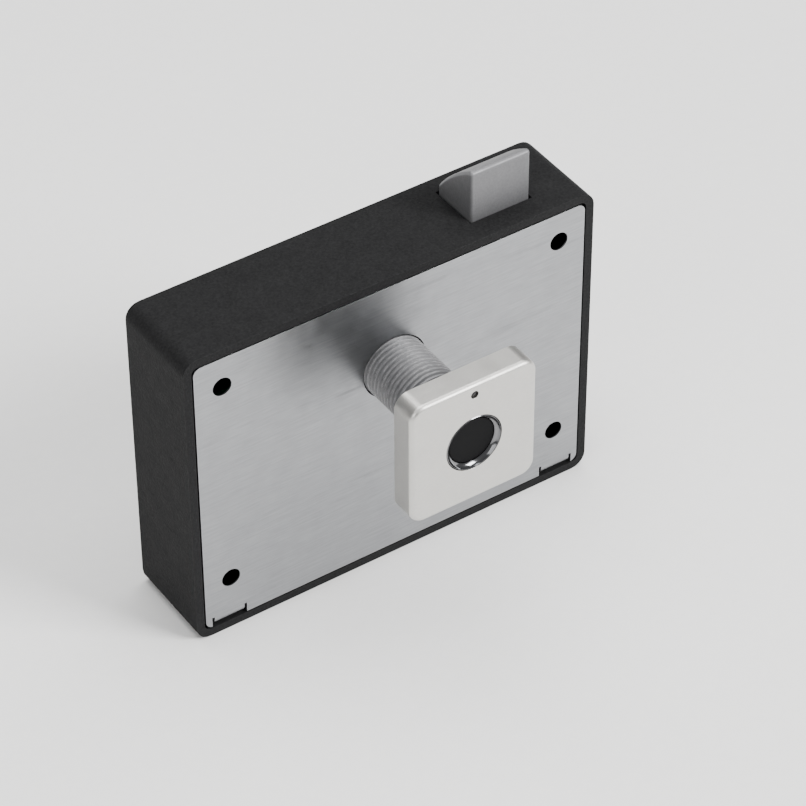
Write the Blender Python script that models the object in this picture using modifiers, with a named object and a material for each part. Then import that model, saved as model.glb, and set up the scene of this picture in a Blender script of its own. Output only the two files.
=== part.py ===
# Fingerprint lock for a furniture drawer or cabinet door.
# A black moulded body sits behind the drawer front and pushes a bevelled latch bolt up out of its top.
# A small square fingerprint reader sits on the outside.
# Its hollow threaded stem passes through the front.
# Metres. X is to the right as seen from outside, Y points into the drawer, Z is up.
# The origin is on the stem's axis, in the plane where the body lies against the drawer front's inner face.

import math

import bmesh
import bpy
from mathutils import Vector

# Clearances and overruns
CLEARANCE = 0.0003
SEAT_GAP = 0.0001
OVERRUN = 0.001
MERGE = 0.000001

# The panel that the lock is made for
PANEL_THICKNESS = 0.018

# Reader on the outside
READER_SIDE = 0.025
READER_CORNER_RADIUS = 0.0028
READER_EDGE_RADIUS = 0.0009
READER_DEPTH = 0.0050
READER_WALL = 0.0012
READER_BOARD_THICKNESS = 0.0008
READER_FLANGE_THICKNESS = 0.0012
GASKET_THICKNESS = 0.0010
GASKET_PROUD = 0.0005
SENSOR_DIAMETER = 0.0090
SENSOR_EDGE = 0.0002
SENSOR_RECESS = 0.0008
RING_DIAMETER = 0.0109
RING_LAND = 0.0002
RING_SHOULDER = 0.0006
LED_DIAMETER = 0.0013
LED_ABOVE_SENSOR = 0.0104
LED_RECESS = 0.0002
STEM_DIAMETER = 0.0120
STEM_BORE = 0.0080
STEM_PAST_NUT = 0.0003
NUT_ACROSS_FLATS = 0.0170
NUT_THICKNESS = 0.0022
NUT_CHAMFER = 0.0005

# Shell of the body
WALL = 0.0016
COVER_MARGIN = 0.0024
BODY_CORNER_RADIUS = 0.0028
BODY_REAR_RADIUS = 0.0016
TOP_ABOVE_STEM = 0.0195
BAY_FLOOR = 0.0008
BAY_WALL = 0.0016
DIVIDER = 0.0012
WELL_HEIGHT = 0.0056
WELL_FLOOR = 0.0008
WELL_DEPTH = 0.0048

# Steel plate that is screwed to the panel
PLATE_THICKNESS = 0.0012
PLATE_CORNER_RADIUS = 0.0015
WOOD_SCREW_HOLE = 0.0036
WOOD_SCREW_SINK = 0.0068
WOOD_SINK_SHARE = 0.65
WOOD_SCREW_INSET = 0.0056
WOOD_SCREW_TOP_INSET = 0.0062
WOOD_SCREW_FOOT_INSET = 0.0098
LUG_WIDTH = 0.0060
LUG_REACH = 0.0070
LUG_INSET = 0.0050

# Screws through the body's foot into the plate's lugs, and small screws inside
HOUSING_SCREW_DIAMETER = 0.0020
HOUSING_SCREW_LENGTH = 0.0050
HOUSING_SCREW_HEAD = 0.0038
HOUSING_SCREW_HEAD_HEIGHT = 0.0009
HOUSING_SCREW_RIM = 0.0004
SMALL_SCREW_DIAMETER = 0.0016
SMALL_SCREW_HEAD = 0.0032
SMALL_SCREW_HEAD_HEIGHT = 0.0006
SMALL_SCREW_LENGTH = 0.0040
BOSS_WALL = 0.0012
SCREW_CROWN_SHARE = 0.6

# Cells and their contacts
CELL_DIAMETER = 0.0105
CELL_LENGTH = 0.0445
CELL_COUNT = 3
CELL_GAP = 0.0003
CELL_SIDE_GAP = 0.0005
CELL_LINE_GAPS = 5
CELL_TO_COVER = 0.0005
CELL_NUB_DIAMETER = 0.0038
CELL_NUB_HEIGHT = 0.0008
CELL_EDGE = 0.0005
CONTACT_THICKNESS = 0.0004
CONTACT_WIDTH = 0.0080
CELL_SPRING_HEIGHT = 0.0036
CELL_SPRING_WIDE = 0.0068
CELL_SPRING_NARROW = 0.0046
CELL_SPRING_WIRE = 0.0005
CELL_SPRING_TURNS = 3.5
TROUGH_DEPTH = 0.0026

# Latch bolt and what drives it
THROW = 0.0100
BOLT_WIDTH = 0.0121
BOLT_DEPTH = 0.0098
BOLT_FRONT = 0.0047
BOLT_GUIDED = 0.0160
BOLT_TIP_LAND = 0.0004
BOLT_HEEL = 0.0016
BOLT_BULGE = 0.0010
BOLT_EDGE_RADIUS = 0.0004
BOLT_TO_RIGHT_EDGE = 0.0162
BOLT_GUIDE_THICKNESS = 0.0013
BOLT_GUIDE_LENGTH = 0.0260
BACK_RIB_SHARES = (-0.25, 0.25)
PIN_DIAMETER = 0.0030
PIN_ABOVE_FOOT = 0.0101
PIN_SET_IN_BOLT = 0.0060
SPRING_POCKET_DIAMETER = 0.0058
SPRING_POCKET_DEPTH = 0.0075
SPRING_DIAMETER = 0.0050
SPRING_WIRE = 0.0006
SPRING_TURNS = 9
SPRING_PRESSED_SPACE = 0.0030
DRAW_PLATE_THICKNESS = 0.0020
DRAW_PLATE_WEB = 0.0021
SHELF_THICKNESS = 0.0015
SHELF_HALF_WIDTH = 0.0036
SHELF_NUB_HEIGHT = 0.0018
SHELF_TO_MOTOR = 0.0012

# Rack and pinion
GEAR_MODULE = 0.0006
PINION_TEETH = 12
PINION_WIDTH = 0.0050
PINION_HUB_DIAMETER = 0.0056
PINION_HUB_LENGTH = 0.0018
PINION_HUB_SUNK = 0.00125
GEAR_CLEARANCE = 0.00018
GEAR_BACKLASH = 0.00024
RACK_ADDENDUM_SHARE = 0.7
RACK_BACK = 0.0035
RACK_END = 0.0024
PRESSURE_ANGLE_DEG = 20.0

# Motor and gearbox
MOTOR_HEIGHT = 0.0120
MOTOR_FLAT = 0.0010
MOTOR_LENGTH = 0.0150
GEARBOX_LENGTH = 0.0090
GEARBOX_PLATE = 0.0008
GEARBOX_STEP = 0.0006
MOTOR_HUB_DIAMETER = 0.0046
MOTOR_HUB_LENGTH = 0.0007
MOTOR_END_SPACE = 0.0015
SHAFT_DIAMETER = 0.0030
SHAFT_LENGTH = 0.0090
SHAFT_FLAT = 0.0005
MOTOR_TO_PINION = 0.0005
SADDLE_WIDTH = 0.0014
SADDLE_PLACE_SHARES = (0.2, 0.8)
CLAMP_THICKNESS = 0.0006
CLAMP_WIDTH = 0.0060
CLAMP_FOOT = 0.0042
LEAD_DIAMETER = 0.0008
LEAD_SPACING = 0.0062
LEAD_BEND = 0.0012

# Battery cover and setting button
COVER_THICKNESS = 0.0016
COVER_CORNER_RADIUS = 0.0012
COVER_SNAP_WIDTH = 0.0050
COVER_SNAP_LENGTH = 0.0040
COVER_SNAP_THICKNESS = 0.0010
COVER_GRIP_GROOVES = 5
COVER_GRIP_PITCH = 0.0020
COVER_GRIP_WIDTH = 0.0140
COVER_GRIP_DEPTH = 0.0004
COVER_GRIP_GROOVE = 0.0008
BUTTON_DIAMETER = 0.0034
BUTTON_PROUD = 0.0010
BUTTON_EDGE = 0.00025
BUTTON_COLLAR = 0.0050
BUTTON_COLLAR_HEIGHT = 0.0008
BUTTON_TO_SWITCH = 0.0005

# Main board
BOARD_THICKNESS = 0.0010
BOARD_STEP_BACK = 0.0010
BOARD_EDGE_GAP = 0.0010
BOARD_TOP_DROP = 0.0100
CHIP_SIDE = 0.0060
CHIP_HEIGHT = 0.0009
DRIVER_LENGTH = 0.0050
DRIVER_WIDTH = 0.0040
CAPACITOR_SIDE = 0.0024
CONTROLLER_SHARES = (0.45, 0.62)
DRIVER_SHARES = (0.62, 0.40)
CAPACITOR_SHARES = ((0.32, 0.36), (0.78, 0.56), (0.22, 0.78))
SWITCH_SIDE = 0.0046
SWITCH_HEIGHT = 0.0013
SWITCH_TIP_DIAMETER = 0.0022
SWITCH_TIP_HEIGHT = 0.0004
SOCKET_LENGTH = 0.0035
SOCKET_WIDTH = 0.0062
SOCKET_HEIGHT = 0.0013
CABLE_WIDTH = 0.0040
CABLE_THICKNESS = 0.0003
CABLE_BEND = 0.0020

# Angles from which an edge counts as sharp
BEVEL_LIMIT_DEG = 50.0
SMOOTH_LIMIT_DEG = 35.0

# Facet counts
ROUND_SIDES = 32
SMALL_SIDES = 16
CORNER_STEPS = 4
BEVEL_STEPS = 3
COIL_POINTS = 8
CELL_SIDES = 24
MOTOR_ARC_STEPS = 10
FLANK_STEPS = 3
BOLT_ARC_STEPS = 8

# Heights and depths worked out from what the body holds
STEM_PAST_FACE = PLATE_THICKNESS + CLEARANCE + NUT_THICKNESS + STEM_PAST_NUT
BOARD_FRONT = PLATE_THICKNESS + BOARD_STEP_BACK
BOARD_REAR = BOARD_FRONT + BOARD_THICKNESS
STEM_ROOM = STEM_PAST_FACE + SEAT_GAP + CABLE_THICKNESS + CLEARANCE
CHIP_ROOM = BOARD_REAR + SEAT_GAP + max(CHIP_HEIGHT, SOCKET_HEIGHT, SWITCH_HEIGHT) + CLEARANCE
BOARD_SPACE = max(STEM_ROOM, CHIP_ROOM)
BAY_WIDTH = CELL_COUNT * CELL_DIAMETER + (CELL_COUNT - 1) * CELL_GAP + 2 * CELL_SIDE_GAP
BAY_HEIGHT = CELL_LENGTH + CELL_SPRING_HEIGHT + 2 * CONTACT_THICKNESS + CELL_LINE_GAPS * CLEARANCE
SADDLE_MIN = CLEARANCE + WALL
BATTERY_HEIGHT = 2 * COVER_MARGIN + BAY_HEIGHT + DIVIDER + WELL_HEIGHT
MOTOR_CHAIN = SHELF_THICKNESS + THROW + SHELF_TO_MOTOR + MOTOR_HEIGHT / 2
RACK_CHAIN = RACK_END + THROW + CLEARANCE + WALL
MECHANISM_HEIGHT = BOLT_GUIDED + THROW + SPRING_PRESSED_SPACE + MOTOR_CHAIN + RACK_CHAIN
BODY_HEIGHT = max(BATTERY_HEIGHT, MECHANISM_HEIGHT)
BODY_WIDTH = (
    COVER_MARGIN
    + BAY_WIDTH
    + BAY_WALL
    + MOTOR_END_SPACE
    + MOTOR_LENGTH
    + GEARBOX_LENGTH
    + MOTOR_TO_PINION
    + PINION_WIDTH / 2
    + BOLT_TO_RIGHT_EDGE
)
MOTOR_DEPTH = MOTOR_HEIGHT - 2 * MOTOR_FLAT
PITCH_RADIUS = GEAR_MODULE * PINION_TEETH / 2
DRAW_PLATE_FRONT = PLATE_THICKNESS + CLEARANCE
PITCH_LINE = DRAW_PLATE_FRONT + RACK_BACK + GEAR_MODULE + GEAR_CLEARANCE
MOTOR_Y = PITCH_LINE + PITCH_RADIUS
BATTERY_DEPTH = BOARD_SPACE + BAY_FLOOR + CLEARANCE + CELL_DIAMETER + CELL_TO_COVER + COVER_THICKNESS
MOTOR_REACH = MOTOR_Y + MOTOR_DEPTH / 2 + SADDLE_MIN
BOLT_REACH = BOLT_FRONT + BOLT_DEPTH + SADDLE_MIN
BODY_DEPTH = max(BATTERY_DEPTH, MOTOR_REACH, BOLT_REACH)

# Places in the body
LEFT = -BODY_WIDTH / 2
RIGHT = BODY_WIDTH / 2
TOP = TOP_ABOVE_STEM
FOOT = TOP - BODY_HEIGHT
REAR = BODY_DEPTH
INNER_LEFT = LEFT + WALL
INNER_RIGHT = RIGHT - WALL
INNER_TOP = TOP - WALL
INNER_FOOT = FOOT + WALL
INNER_REAR = REAR - WALL
BAY_LEFT = LEFT + COVER_MARGIN
BAY_RIGHT = BAY_LEFT + BAY_WIDTH
BAY_TOP = TOP - COVER_MARGIN
BAY_FOOT = BAY_TOP - BAY_HEIGHT
BAY_FRONT = BOARD_SPACE + BAY_FLOOR
WELL_FOOT = FOOT + COVER_MARGIN
WELL_TOP = WELL_FOOT + WELL_HEIGHT
WELL_Z = (WELL_TOP + WELL_FOOT) / 2
WELL_FACE = REAR - COVER_THICKNESS - WELL_DEPTH
MECHANISM_LEFT = BAY_RIGHT + BAY_WALL
CELL_Y = BAY_FRONT + CLEARANCE + CELL_DIAMETER / 2
BOLT_X = RIGHT - BOLT_TO_RIGHT_EDGE
BOLT_TOP = TOP + THROW
BOLT_BOTTOM = TOP - BOLT_GUIDED
BOLT_Y = BOLT_FRONT + BOLT_DEPTH / 2
BOLT_REAR = BOLT_FRONT + BOLT_DEPTH
PIN_Z = BOLT_BOTTOM + PIN_ABOVE_FOOT
SHELF_TOP = BOLT_BOTTOM - THROW - SPRING_PRESSED_SPACE
DRAW_PLATE_TOP = PIN_Z + PIN_DIAMETER / 2 + CLEARANCE + DRAW_PLATE_WEB
DRAW_PLATE_FOOT = INNER_FOOT + CLEARANCE + THROW
PINION_X = BOLT_X
PINION_LEFT = PINION_X - PINION_WIDTH / 2
MOTOR_Z = DRAW_PLATE_FOOT + RACK_END
GEARBOX_FACE = PINION_LEFT - MOTOR_TO_PINION
GEARBOX_REAR = GEARBOX_FACE - GEARBOX_LENGTH
MOTOR_REAR = GEARBOX_REAR - MOTOR_LENGTH

# Places in the reader
READER_BACK = -PANEL_THICKNESS
READER_RIM = READER_BACK - GASKET_PROUD
READER_FACE = READER_RIM - READER_DEPTH
READER_INNER_FACE = READER_FACE + READER_WALL
READER_INSIDE = READER_SIDE - 2 * READER_WALL
GASKET_FRONT = READER_BACK - GASKET_THICKNESS
FLANGE_REAR = GASKET_FRONT - SEAT_GAP
FLANGE_FRONT = FLANGE_REAR - READER_FLANGE_THICKNESS
READER_BOARD_REAR = FLANGE_FRONT - SEAT_GAP
READER_BOARD_FRONT = READER_BOARD_REAR - READER_BOARD_THICKNESS
SENSOR_FACE = READER_FACE + SENSOR_RECESS

# Places of the bolt's guide, its spring, the plate's lugs and the motor's clamp
LUG_TOP = INNER_FOOT + CLEARANCE + SEAT_GAP + PLATE_THICKNESS
LUG_Y = PLATE_THICKNESS + LUG_REACH / 2
SLOT_HALF_WIDTH = BOLT_WIDTH / 2 + CLEARANCE
GUIDE_INNER = SLOT_HALF_WIDTH + SEAT_GAP
CLAMP_X = GEARBOX_REAR - MOTOR_LENGTH / 2
CLAMP_LEG = MOTOR_HEIGHT / 2 + CLEARANCE
CLAMP_SEAT = MOTOR_Y
CLAMP_SCREW_OFFSET = CLAMP_LEG + CLAMP_THICKNESS + CLAMP_FOOT / 2
CLAMP_SCREWS = (MOTOR_Z + CLAMP_SCREW_OFFSET, MOTOR_Z - CLAMP_SCREW_OFFSET)
SPRING_FOOT = SHELF_TOP + CLEARANCE
SPRING_TOP = BOLT_BOTTOM + SPRING_POCKET_DEPTH - CLEARANCE

# Places on the main board
BOARD_LEFT = INNER_LEFT + BOARD_EDGE_GAP
BOARD_TOP = INNER_TOP - BOARD_TOP_DROP
BOARD_FOOT = WELL_FOOT
BOARD_NOTCH_TOP = INNER_FOOT + WOOD_SCREW_FOOT_INSET + WOOD_SCREW_SINK / 2 + CLEARANCE
BOARD_RIGHT = -(NUT_ACROSS_FLATS / math.cos(math.pi / 6) / 2 + BOARD_EDGE_GAP)
BOARD_NOTCH_RIGHT = INNER_LEFT + LUG_INSET + LUG_WIDTH / 2 + BOARD_EDGE_GAP
SWITCH_X = (BOARD_NOTCH_RIGHT + BOARD_RIGHT) / 2
BOARD_SCREWS = (
    (BOARD_LEFT + SMALL_SCREW_HEAD, BOARD_TOP - SMALL_SCREW_HEAD),
    (BOARD_RIGHT - SMALL_SCREW_HEAD, WELL_TOP + SMALL_SCREW_HEAD),
)
CABLE_Y = STEM_PAST_FACE + SEAT_GAP + CABLE_THICKNESS / 2
SOCKET_RIGHT = BOARD_RIGHT - BOARD_EDGE_GAP

# Places at the cells' ends
CONTACT_TOP = BAY_TOP - CLEARANCE
CONTACT_FOOT = BAY_FOOT + CLEARANCE
NUB_UP_TIP = CONTACT_TOP - CONTACT_THICKNESS - CLEARANCE
NUB_DOWN_TIP = CONTACT_FOOT + CONTACT_THICKNESS + CLEARANCE

# Rotations that stand a flat outline up: its thickness then lies along the axis named
ALONG_Z = (0.0, 0.0, 0.0)
ALONG_Y = (math.pi / 2, 0.0, 0.0)
ALONG_X = (math.pi / 2, 0.0, math.pi / 2)


def start_scene():
    """Empty the scene and make the two collections."""
    for old in list(bpy.data.objects):
        bpy.data.objects.remove(old)
    parts = bpy.data.collections.new("electronic_cabinet_lock")
    cutters = bpy.data.collections.new("cutters")
    for home in (parts, cutters):
        bpy.context.scene.collection.children.link(home)
    return parts, cutters


PARTS, CUTTERS = start_scene()


def place(name, mesh, location, rotation=ALONG_Z):
    """Make an object for the mesh and put it where it belongs."""
    part = bpy.data.objects.new(name, mesh)
    PARTS.objects.link(part)
    part.location = location
    part.rotation_euler = rotation
    return part


def finish_mesh(shape, name):
    """Write a bmesh out as a mesh whose faces point outwards."""
    bmesh.ops.recalc_face_normals(shape, faces=shape.faces)
    mesh = bpy.data.meshes.new(name)
    shape.to_mesh(mesh)
    shape.free()
    return mesh


def box(name, low, high):
    """A block between two corners."""
    low, high = Vector(low), Vector(high)
    shape = bmesh.new()
    bmesh.ops.create_cube(shape, size=1.0)
    bmesh.ops.scale(shape, vec=high - low, verts=shape.verts)
    return place(name, finish_mesh(shape, name), (low + high) / 2)


def rod(name, start, end, radius, sides=ROUND_SIDES):
    """A round bar between two points, with its origin halfway."""
    start, end = Vector(start), Vector(end)
    along = end - start
    shape = bmesh.new()
    bmesh.ops.create_cone(
        shape, cap_ends=True, segments=sides, radius1=radius, radius2=radius, depth=along.length
    )
    turn = along.to_track_quat("Z", "Y").to_euler()
    bar = place(name, finish_mesh(shape, name), (start + end) / 2, turn)
    smooth(bar)
    return bar


def turned(name, profile, location, rotation=ALONG_Z, steps=ROUND_SIDES, ring=False):
    """A profile of (radius, height) points, from top to bottom outside, turned about its own Z."""
    mesh = bpy.data.meshes.new(name)
    points = [(radius, 0.0, height) for radius, height in profile]
    edges = [(i, i + 1) for i in range(len(points) - 1)]
    if ring:
        edges.append((len(points) - 1, 0))
    mesh.from_pydata(points, edges, [])
    part = place(name, mesh, location, rotation)
    screw = part.modifiers.new("turn", "SCREW")
    screw.steps = steps
    screw.render_steps = steps
    screw.use_merge_vertices = True
    screw.merge_threshold = MERGE
    screw.use_smooth_shade = True
    return part


def arc(centre, radius, start_deg, end_deg, steps):
    """Points along an arc, both ends included."""
    points = []
    for i in range(steps + 1):
        angle = math.radians(start_deg + (end_deg - start_deg) * i / steps)
        points.append((centre[0] + radius * math.cos(angle), centre[1] + radius * math.sin(angle)))
    return points


def circle(centre, diameter, sides=ROUND_SIDES):
    """Points round a full circle."""
    return arc(centre, diameter / 2, 0.0, 360.0, sides)[:-1]


def rounded(low, high, radius, steps=CORNER_STEPS):
    """A rectangle's outline with round corners."""
    (x0, y0), (x1, y1) = low, high
    corners = (
        ((x1 - radius, y1 - radius), 0.0),
        ((x0 + radius, y1 - radius), 90.0),
        ((x0 + radius, y0 + radius), 180.0),
        ((x1 - radius, y0 + radius), 270.0),
    )
    outline = []
    for centre, start_deg in corners:
        outline += arc(centre, radius, start_deg, start_deg + 90.0, steps)
    return outline


def plate(name, outlines, thickness, location, rotation=ALONG_Y):
    """A flat piece from its outline, and the outlines of its holes, centred on its thickness."""
    curve = bpy.data.curves.new(name, "CURVE")
    curve.dimensions = "2D"
    curve.fill_mode = "BOTH"
    curve.extrude = thickness / 2
    for outline in outlines:
        spline = curve.splines.new("POLY")
        spline.points.add(len(outline) - 1)
        for point, (x, y) in zip(spline.points, outline):
            point.co = (x, y, 0.0, 1.0)
        spline.use_cyclic_u = True
    return solid_from_curve(name, curve, location, rotation)


def tube(name, points, diameter, location=(0.0, 0.0, 0.0), resolution=1):
    """A wire of round section along its points."""
    curve = bpy.data.curves.new(name, "CURVE")
    curve.dimensions = "3D"
    curve.bevel_depth = diameter / 2
    curve.bevel_resolution = resolution
    curve.use_fill_caps = True
    spline = curve.splines.new("POLY")
    spline.points.add(len(points) - 1)
    for point, place_on_wire in zip(spline.points, points):
        point.co = (*place_on_wire, 1.0)
    return solid_from_curve(name, curve, location, ALONG_Z)


def solid_from_curve(name, curve, location, rotation):
    """Turn a curve into a closed mesh object in the same place."""
    guide = bpy.data.objects.new(name + "_guide", curve)
    PARTS.objects.link(guide)
    guide.location = location
    guide.rotation_euler = rotation
    bpy.context.view_layer.update()
    evaluated = guide.evaluated_get(bpy.context.evaluated_depsgraph_get())
    mesh = bpy.data.meshes.new_from_object(evaluated)
    shape = bmesh.new()
    shape.from_mesh(mesh)
    bmesh.ops.remove_doubles(shape, verts=shape.verts, dist=MERGE)
    part = place(name, finish_mesh(shape, name), location, rotation)
    part.matrix_world = guide.matrix_world.copy()
    bpy.data.objects.remove(guide)
    bpy.data.meshes.remove(mesh)
    return part


def hide_tool(tool):
    """Put a cutter, or a shape that is joined on, away with the cutters."""
    PARTS.objects.unlink(tool)
    CUTTERS.objects.link(tool)
    tool.hide_render = True
    tool.display_type = "WIRE"


def boolean(part, tool, operation):
    """Add one Boolean step."""
    hide_tool(tool)
    step = part.modifiers.new(tool.name, "BOOLEAN")
    step.operation = operation
    step.solver = "EXACT"
    step.object = tool


def cut(part, *tools):
    """Take each tool's space out of the part."""
    for tool in tools:
        boolean(part, tool, "DIFFERENCE")


def join(part, *tools):
    """Fuse each tool with the part."""
    for tool in tools:
        boolean(part, tool, "UNION")


def bevel(part, width, steps=BEVEL_STEPS):
    """Round the part's sharp edges."""
    step = part.modifiers.new("rounded edges", "BEVEL")
    step.width = width
    step.segments = steps
    step.limit_method = "ANGLE"
    step.angle_limit = math.radians(BEVEL_LIMIT_DEG)
    step.use_clamp_overlap = False


def smooth(part):
    """Shade a round piece smooth, with its real edges sharp."""
    part.data.shade_smooth()
    part.data.set_sharp_from_angle(angle=math.radians(SMOOTH_LIMIT_DEG))


def frame(name, location):
    """An empty that carries one moving group."""
    empty = bpy.data.objects.new(name, None)
    PARTS.objects.link(empty)
    empty.location = location
    return empty


def carry(empty, *pieces):
    """Hang the pieces on the empty where they already are."""
    for piece in pieces:
        piece.parent = empty
        piece.location = piece.location - empty.location


def paint(part, colour, roughness, metallic=0.0):
    """Give the part its own material."""
    material = bpy.data.materials.new(part.name)
    material.use_nodes = True
    shader = material.node_tree.nodes["Principled BSDF"]
    shader.inputs["Base Color"].default_value = (*colour, 1.0)
    shader.inputs["Roughness"].default_value = roughness
    shader.inputs["Metallic"].default_value = metallic
    part.data.materials.clear()
    part.data.materials.append(material)


def paint_all(parts, colour, roughness, metallic=0.0):
    """Give each of several like parts its own material."""
    for part in parts:
        paint(part, colour, roughness, metallic)
    return parts


# Colours
BLACK_PLASTIC = (0.030, 0.030, 0.031)
SATIN_NICKEL = (0.60, 0.59, 0.57)
POLISHED_STEEL = (0.78, 0.78, 0.78)
DARK_CHROME = (0.22, 0.22, 0.225)
ZINC = (0.42, 0.42, 0.43)
STEEL = (0.56, 0.57, 0.58)
SENSOR_BLACK = (0.018, 0.018, 0.020)
BOARD_GREEN = (0.02, 0.16, 0.07)
RUBBER_BLACK = (0.02, 0.02, 0.02)
CHIP_BLACK = (0.025, 0.025, 0.028)
BRASS = (0.72, 0.52, 0.22)
GEAR_WHITE = (0.80, 0.79, 0.74)
CELL_SLEEVE = (0.10, 0.22, 0.36)
SOCKET_IVORY = (0.78, 0.74, 0.64)
CABLE_AMBER = (0.55, 0.28, 0.07)
LENS_SMOKE = (0.05, 0.05, 0.055)
LEAD_RED = (0.45, 0.03, 0.03)


def pan_screw(name, seat, direction, diameter, length, head, head_height):
    """A pan-head screw whose head's underside lies at the seat and whose shank runs along the direction."""
    top = head_height
    profile = [
        (0.0, top),
        (SCREW_CROWN_SHARE * head / 2, top),
        (head / 2, top / 2),
        (head / 2, 0.0),
        (diameter / 2, 0.0),
        (diameter / 2, -length + diameter / 2),
        (0.0, -length),
    ]
    turn = (-Vector(direction)).to_track_quat("Z", "Y").to_euler()
    return turned(name, profile, seat, turn, SMALL_SIDES)


# Reader

def make_reader_bezel():
    """Cast cap with softened edges, open at the back, with windows for the sensor and the light."""
    half = READER_SIDE / 2
    cap = plate(
        "reader_bezel",
        [rounded((-half, -half), (half, half), READER_CORNER_RADIUS)],
        READER_DEPTH + READER_EDGE_RADIUS * 2,
        (0.0, READER_FACE + READER_DEPTH / 2 + READER_EDGE_RADIUS, 0.0),
    )
    bevel(cap, READER_EDGE_RADIUS)
    trim_far = READER_RIM + 2 * READER_EDGE_RADIUS + OVERRUN
    trim = box(
        "reader_rim_trim", (-READER_SIDE, READER_RIM, -READER_SIDE), (READER_SIDE, trim_far, READER_SIDE)
    )
    inner = READER_INSIDE / 2
    hollow_depth = READER_RIM - READER_INNER_FACE + OVERRUN
    hollow = plate(
        "reader_hollow",
        [rounded((-inner, -inner), (inner, inner), READER_CORNER_RADIUS - READER_WALL)],
        hollow_depth,
        (0.0, READER_INNER_FACE + hollow_depth / 2, 0.0),
    )
    window = rod(
        "sensor_window",
        (0.0, READER_FACE - OVERRUN, 0.0),
        (0.0, READER_INNER_FACE + OVERRUN, 0.0),
        RING_DIAMETER / 2 + SEAT_GAP,
        ROUND_SIDES,
    )
    light_hole = rod(
        "light_window",
        (0.0, READER_FACE - OVERRUN, LED_ABOVE_SENSOR),
        (0.0, READER_INNER_FACE + OVERRUN, LED_ABOVE_SENSOR),
        LED_DIAMETER / 2 + SEAT_GAP,
        SMALL_SIDES,
    )
    cut(cap, trim, hollow, window, light_hole)
    paint(cap, SATIN_NICKEL, 0.34, 1.0)
    return cap


def make_sensor_ring():
    """Dark polished ring with a chamfer that leads the fingertip down to the sensor."""
    outer = RING_DIAMETER / 2
    inner = SENSOR_DIAMETER / 2 + SEAT_GAP
    rear = READER_BOARD_FRONT - SEAT_GAP
    flange_front = READER_INNER_FACE + SEAT_GAP
    depth = rear - READER_FACE
    profile = [
        (outer, depth),
        (outer, depth - (flange_front - READER_FACE)),
        (outer + RING_SHOULDER, depth - (flange_front - READER_FACE)),
        (outer + RING_SHOULDER, 0.0),
        (inner, 0.0),
        (inner, depth - SENSOR_RECESS),
        (outer - RING_LAND, depth),
    ]
    ring = turned("sensor_ring", profile, (0.0, rear, 0.0), ALONG_Y, ROUND_SIDES, ring=True)
    paint(ring, DARK_CHROME, 0.12, 1.0)
    return ring


def make_fingerprint_sensor():
    """Round sensing pad on its base."""
    rear = READER_BOARD_FRONT - SEAT_GAP
    depth = rear - SENSOR_FACE
    radius = SENSOR_DIAMETER / 2
    edge = SENSOR_EDGE
    profile = [(0.0, depth), (radius - edge, depth), (radius, depth - edge), (radius, 0.0), (0.0, 0.0)]
    pad = turned("fingerprint_sensor", profile, (0.0, rear, 0.0), ALONG_Y)
    paint(pad, SENSOR_BLACK, 0.28)
    return pad


def make_status_light():
    """Short light guide above the sensor."""
    pipe = rod(
        "status_light",
        (0.0, READER_FACE + LED_RECESS, LED_ABOVE_SENSOR),
        (0.0, READER_BOARD_FRONT - SEAT_GAP, LED_ABOVE_SENSOR),
        LED_DIAMETER / 2,
        SMALL_SIDES,
    )
    paint(pipe, LENS_SMOKE, 0.15)
    return pipe


def make_reader_board():
    """Circuit board that closes the cap behind the sensor."""
    half = READER_INSIDE / 2 - CLEARANCE
    board = plate(
        "reader_board",
        [rounded((-half, -half), (half, half), READER_CORNER_RADIUS - READER_WALL)],
        READER_BOARD_THICKNESS,
        (0.0, (READER_BOARD_REAR + READER_BOARD_FRONT) / 2, 0.0),
    )
    paint(board, BOARD_GREEN, 0.45)
    return board


def make_reader_stem():
    """Hollow stem with a square flange inside the cap."""
    half = READER_INSIDE / 2 - CLEARANCE
    corner = READER_CORNER_RADIUS - READER_WALL
    stem = plate(
        "reader_stem",
        [rounded((-half, -half), (half, half), corner)],
        READER_FLANGE_THICKNESS,
        (0.0, (FLANGE_REAR + FLANGE_FRONT) / 2, 0.0),
    )
    tube_part = rod(
        "stem_tube",
        (0.0, (FLANGE_REAR + FLANGE_FRONT) / 2, 0.0),
        (0.0, STEM_PAST_FACE, 0.0),
        STEM_DIAMETER / 2,
    )
    bore = rod(
        "stem_bore",
        (0.0, FLANGE_FRONT - OVERRUN, 0.0),
        (0.0, STEM_PAST_FACE + OVERRUN, 0.0),
        STEM_BORE / 2,
    )
    join(stem, tube_part)
    cut(stem, bore)
    paint(stem, ZINC, 0.38, 1.0)
    return stem


def make_reader_gasket():
    """Foam gasket between the reader and the panel."""
    half = READER_INSIDE / 2 - CLEARANCE
    hole = STEM_DIAMETER + 2 * CLEARANCE
    gasket = plate(
        "reader_gasket",
        [
            rounded((-half, -half), (half, half), READER_CORNER_RADIUS - READER_WALL),
            circle((0.0, 0.0), hole),
        ],
        GASKET_THICKNESS,
        (0.0, (READER_BACK + GASKET_FRONT) / 2, 0.0),
    )
    paint(gasket, RUBBER_BLACK, 0.9)
    return gasket


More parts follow.
